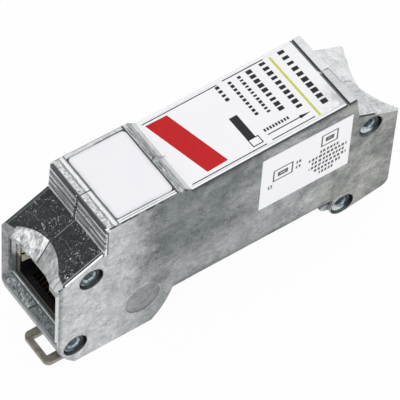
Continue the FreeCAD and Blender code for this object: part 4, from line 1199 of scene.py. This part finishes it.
class SURGE_OT_stage(bpy.types.Operator):
    """Set the floor, the soft light, the world and the camera"""
    bl_idname = "surge.stage"
    bl_label = "Stage"

    def execute(self, context):
        looks = context.scene.surge_stage
        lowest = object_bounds()[0][2]
        self.make_floor(lowest - FLOOR_GAP)
        self.make_world(looks.ambient)
        for name, place, width, share in LAMPS:
            self.make_lamp(name, place, looks.key * share, width)
        self.make_camera(looks.lens)
        context.scene.view_settings.view_transform = "Standard"
        return {"FINISHED"}

    def make_floor(self, height):
        shape = bmesh.new()
        corners = bar(-FLOOR_REACH, FLOOR_REACH, -FLOOR_REACH, FLOOR_REACH)
        shape.faces.new([shape.verts.new((x, y, height)) for x, y in corners])
        mesh = bpy.data.meshes.new("floor")
        shape.to_mesh(mesh)
        shape.free()
        floor = bpy.data.objects.new("floor", mesh)
        bpy.context.scene.collection.objects.link(floor)
        mesh.materials.append(self.floor_finish())
        floor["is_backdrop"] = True

    def floor_finish(self):
        """Near white where the camera sees it, a plain pale surface for shadows and light."""
        material = bpy.data.materials.new("floor white")
        material.use_nodes = True
        tree = material.node_tree
        shader = tree.nodes["Principled BSDF"]
        shader.inputs["Base Color"].default_value = FLOOR_GREY
        shader.inputs["Roughness"].default_value = 0.9
        glow = add_node(tree, "ShaderNodeEmission", {"Strength": 1.0})
        share = add_node(tree, "ShaderNodeMath", {0: seen_directly(tree), 1: FLOOR_WHITE_SHARE},
                         operation="MULTIPLY")
        blend = add_node(tree, "ShaderNodeMixShader", {0: share, 1: shader, 2: glow})
        feed(tree, tree.nodes["Material Output"].inputs["Surface"], blend)
        return material

    def make_world(self, ambient):
        world = bpy.data.worlds.new("Studio")
        bpy.context.scene.world = world
        world.use_nodes = True
        tree = world.node_tree
        sky = tree.nodes["Background"].inputs
        sky["Color"].default_value = (1, 1, 1, 1)
        level = {"Value": seen_directly(tree), "To Min": ambient, "To Max": 1.0}
        feed(tree, sky["Strength"], add_node(tree, "ShaderNodeMapRange", level))

    def make_lamp(self, name, place, power, width):
        lamp = bpy.data.lights.new(name, "AREA")
        lamp.energy = power
        lamp.size = width
        holder = bpy.data.objects.new(name, lamp)
        bpy.context.scene.collection.objects.link(holder)
        holder.location = place
        holder.rotation_euler = (-place).to_track_quat("-Z", "Y").to_euler()

    def make_camera(self, lens):
        camera = bpy.data.cameras.new("Camera")
        camera.sensor_width = SENSOR_WIDTH
        camera.lens = lens
        camera.clip_start = 0.01
        camera.clip_end = 10
        holder = bpy.data.objects.new("Camera", camera)
        bpy.context.scene.collection.objects.link(holder)
        turn = Matrix((CAMERA_RIGHT, -CAMERA_DOWN, -CAMERA_AHEAD)).transposed()
        holder.matrix_world = Matrix.Translation(CAMERA_PLACE) @ turn.to_4x4()
        bpy.context.scene.camera = holder


class SURGE_PT_panel(bpy.types.Panel):
    """Steps that dress the surge protector"""
    bl_idname = "SURGE_PT_panel"
    bl_label = "Surge protector"
    bl_space_type = "VIEW_3D"
    bl_region_type = "UI"
    bl_category = "Surge"

    def draw(self, context):
        for pointer in GROUPS:
            group = getattr(context.scene, pointer)
            column = self.layout.column(align=True)
            for name in group.bl_rna.properties.keys():
                if name not in ("rna_type", "name"):
                    column.prop(group, name)
        for operator in OPERATORS:
            self.layout.operator(operator.bl_idname)


OPERATORS = (SURGE_OT_castings, SURGE_OT_films, SURGE_OT_print, SURGE_OT_sockets,
             SURGE_OT_board, SURGE_OT_latch, SURGE_OT_stage)
GROUPS = {"surge_castings": CastingLooks, "surge_print": PrintLooks, "surge_stage": StageLooks}


def register():
    for name, group in GROUPS.items():
        bpy.utils.register_class(group)
        setattr(bpy.types.Scene, name, bpy.props.PointerProperty(type=group))
    for kind in OPERATORS + (SURGE_PT_panel,):
        bpy.utils.register_class(kind)


def unregister():
    for kind in reversed(OPERATORS + (SURGE_PT_panel,)):
        bpy.utils.unregister_class(kind)
    for name, group in reversed(GROUPS.items()):
        delattr(bpy.types.Scene, name)
        bpy.utils.unregister_class(group)


def main():
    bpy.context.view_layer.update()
    register()
    bpy.ops.surge.castings()
    bpy.ops.surge.films()
    bpy.ops.surge.print()
    bpy.ops.surge.sockets()
    bpy.ops.surge.board()
    bpy.ops.surge.latch()
    bpy.ops.surge.stage()


if __name__ == "__main__":
    main()
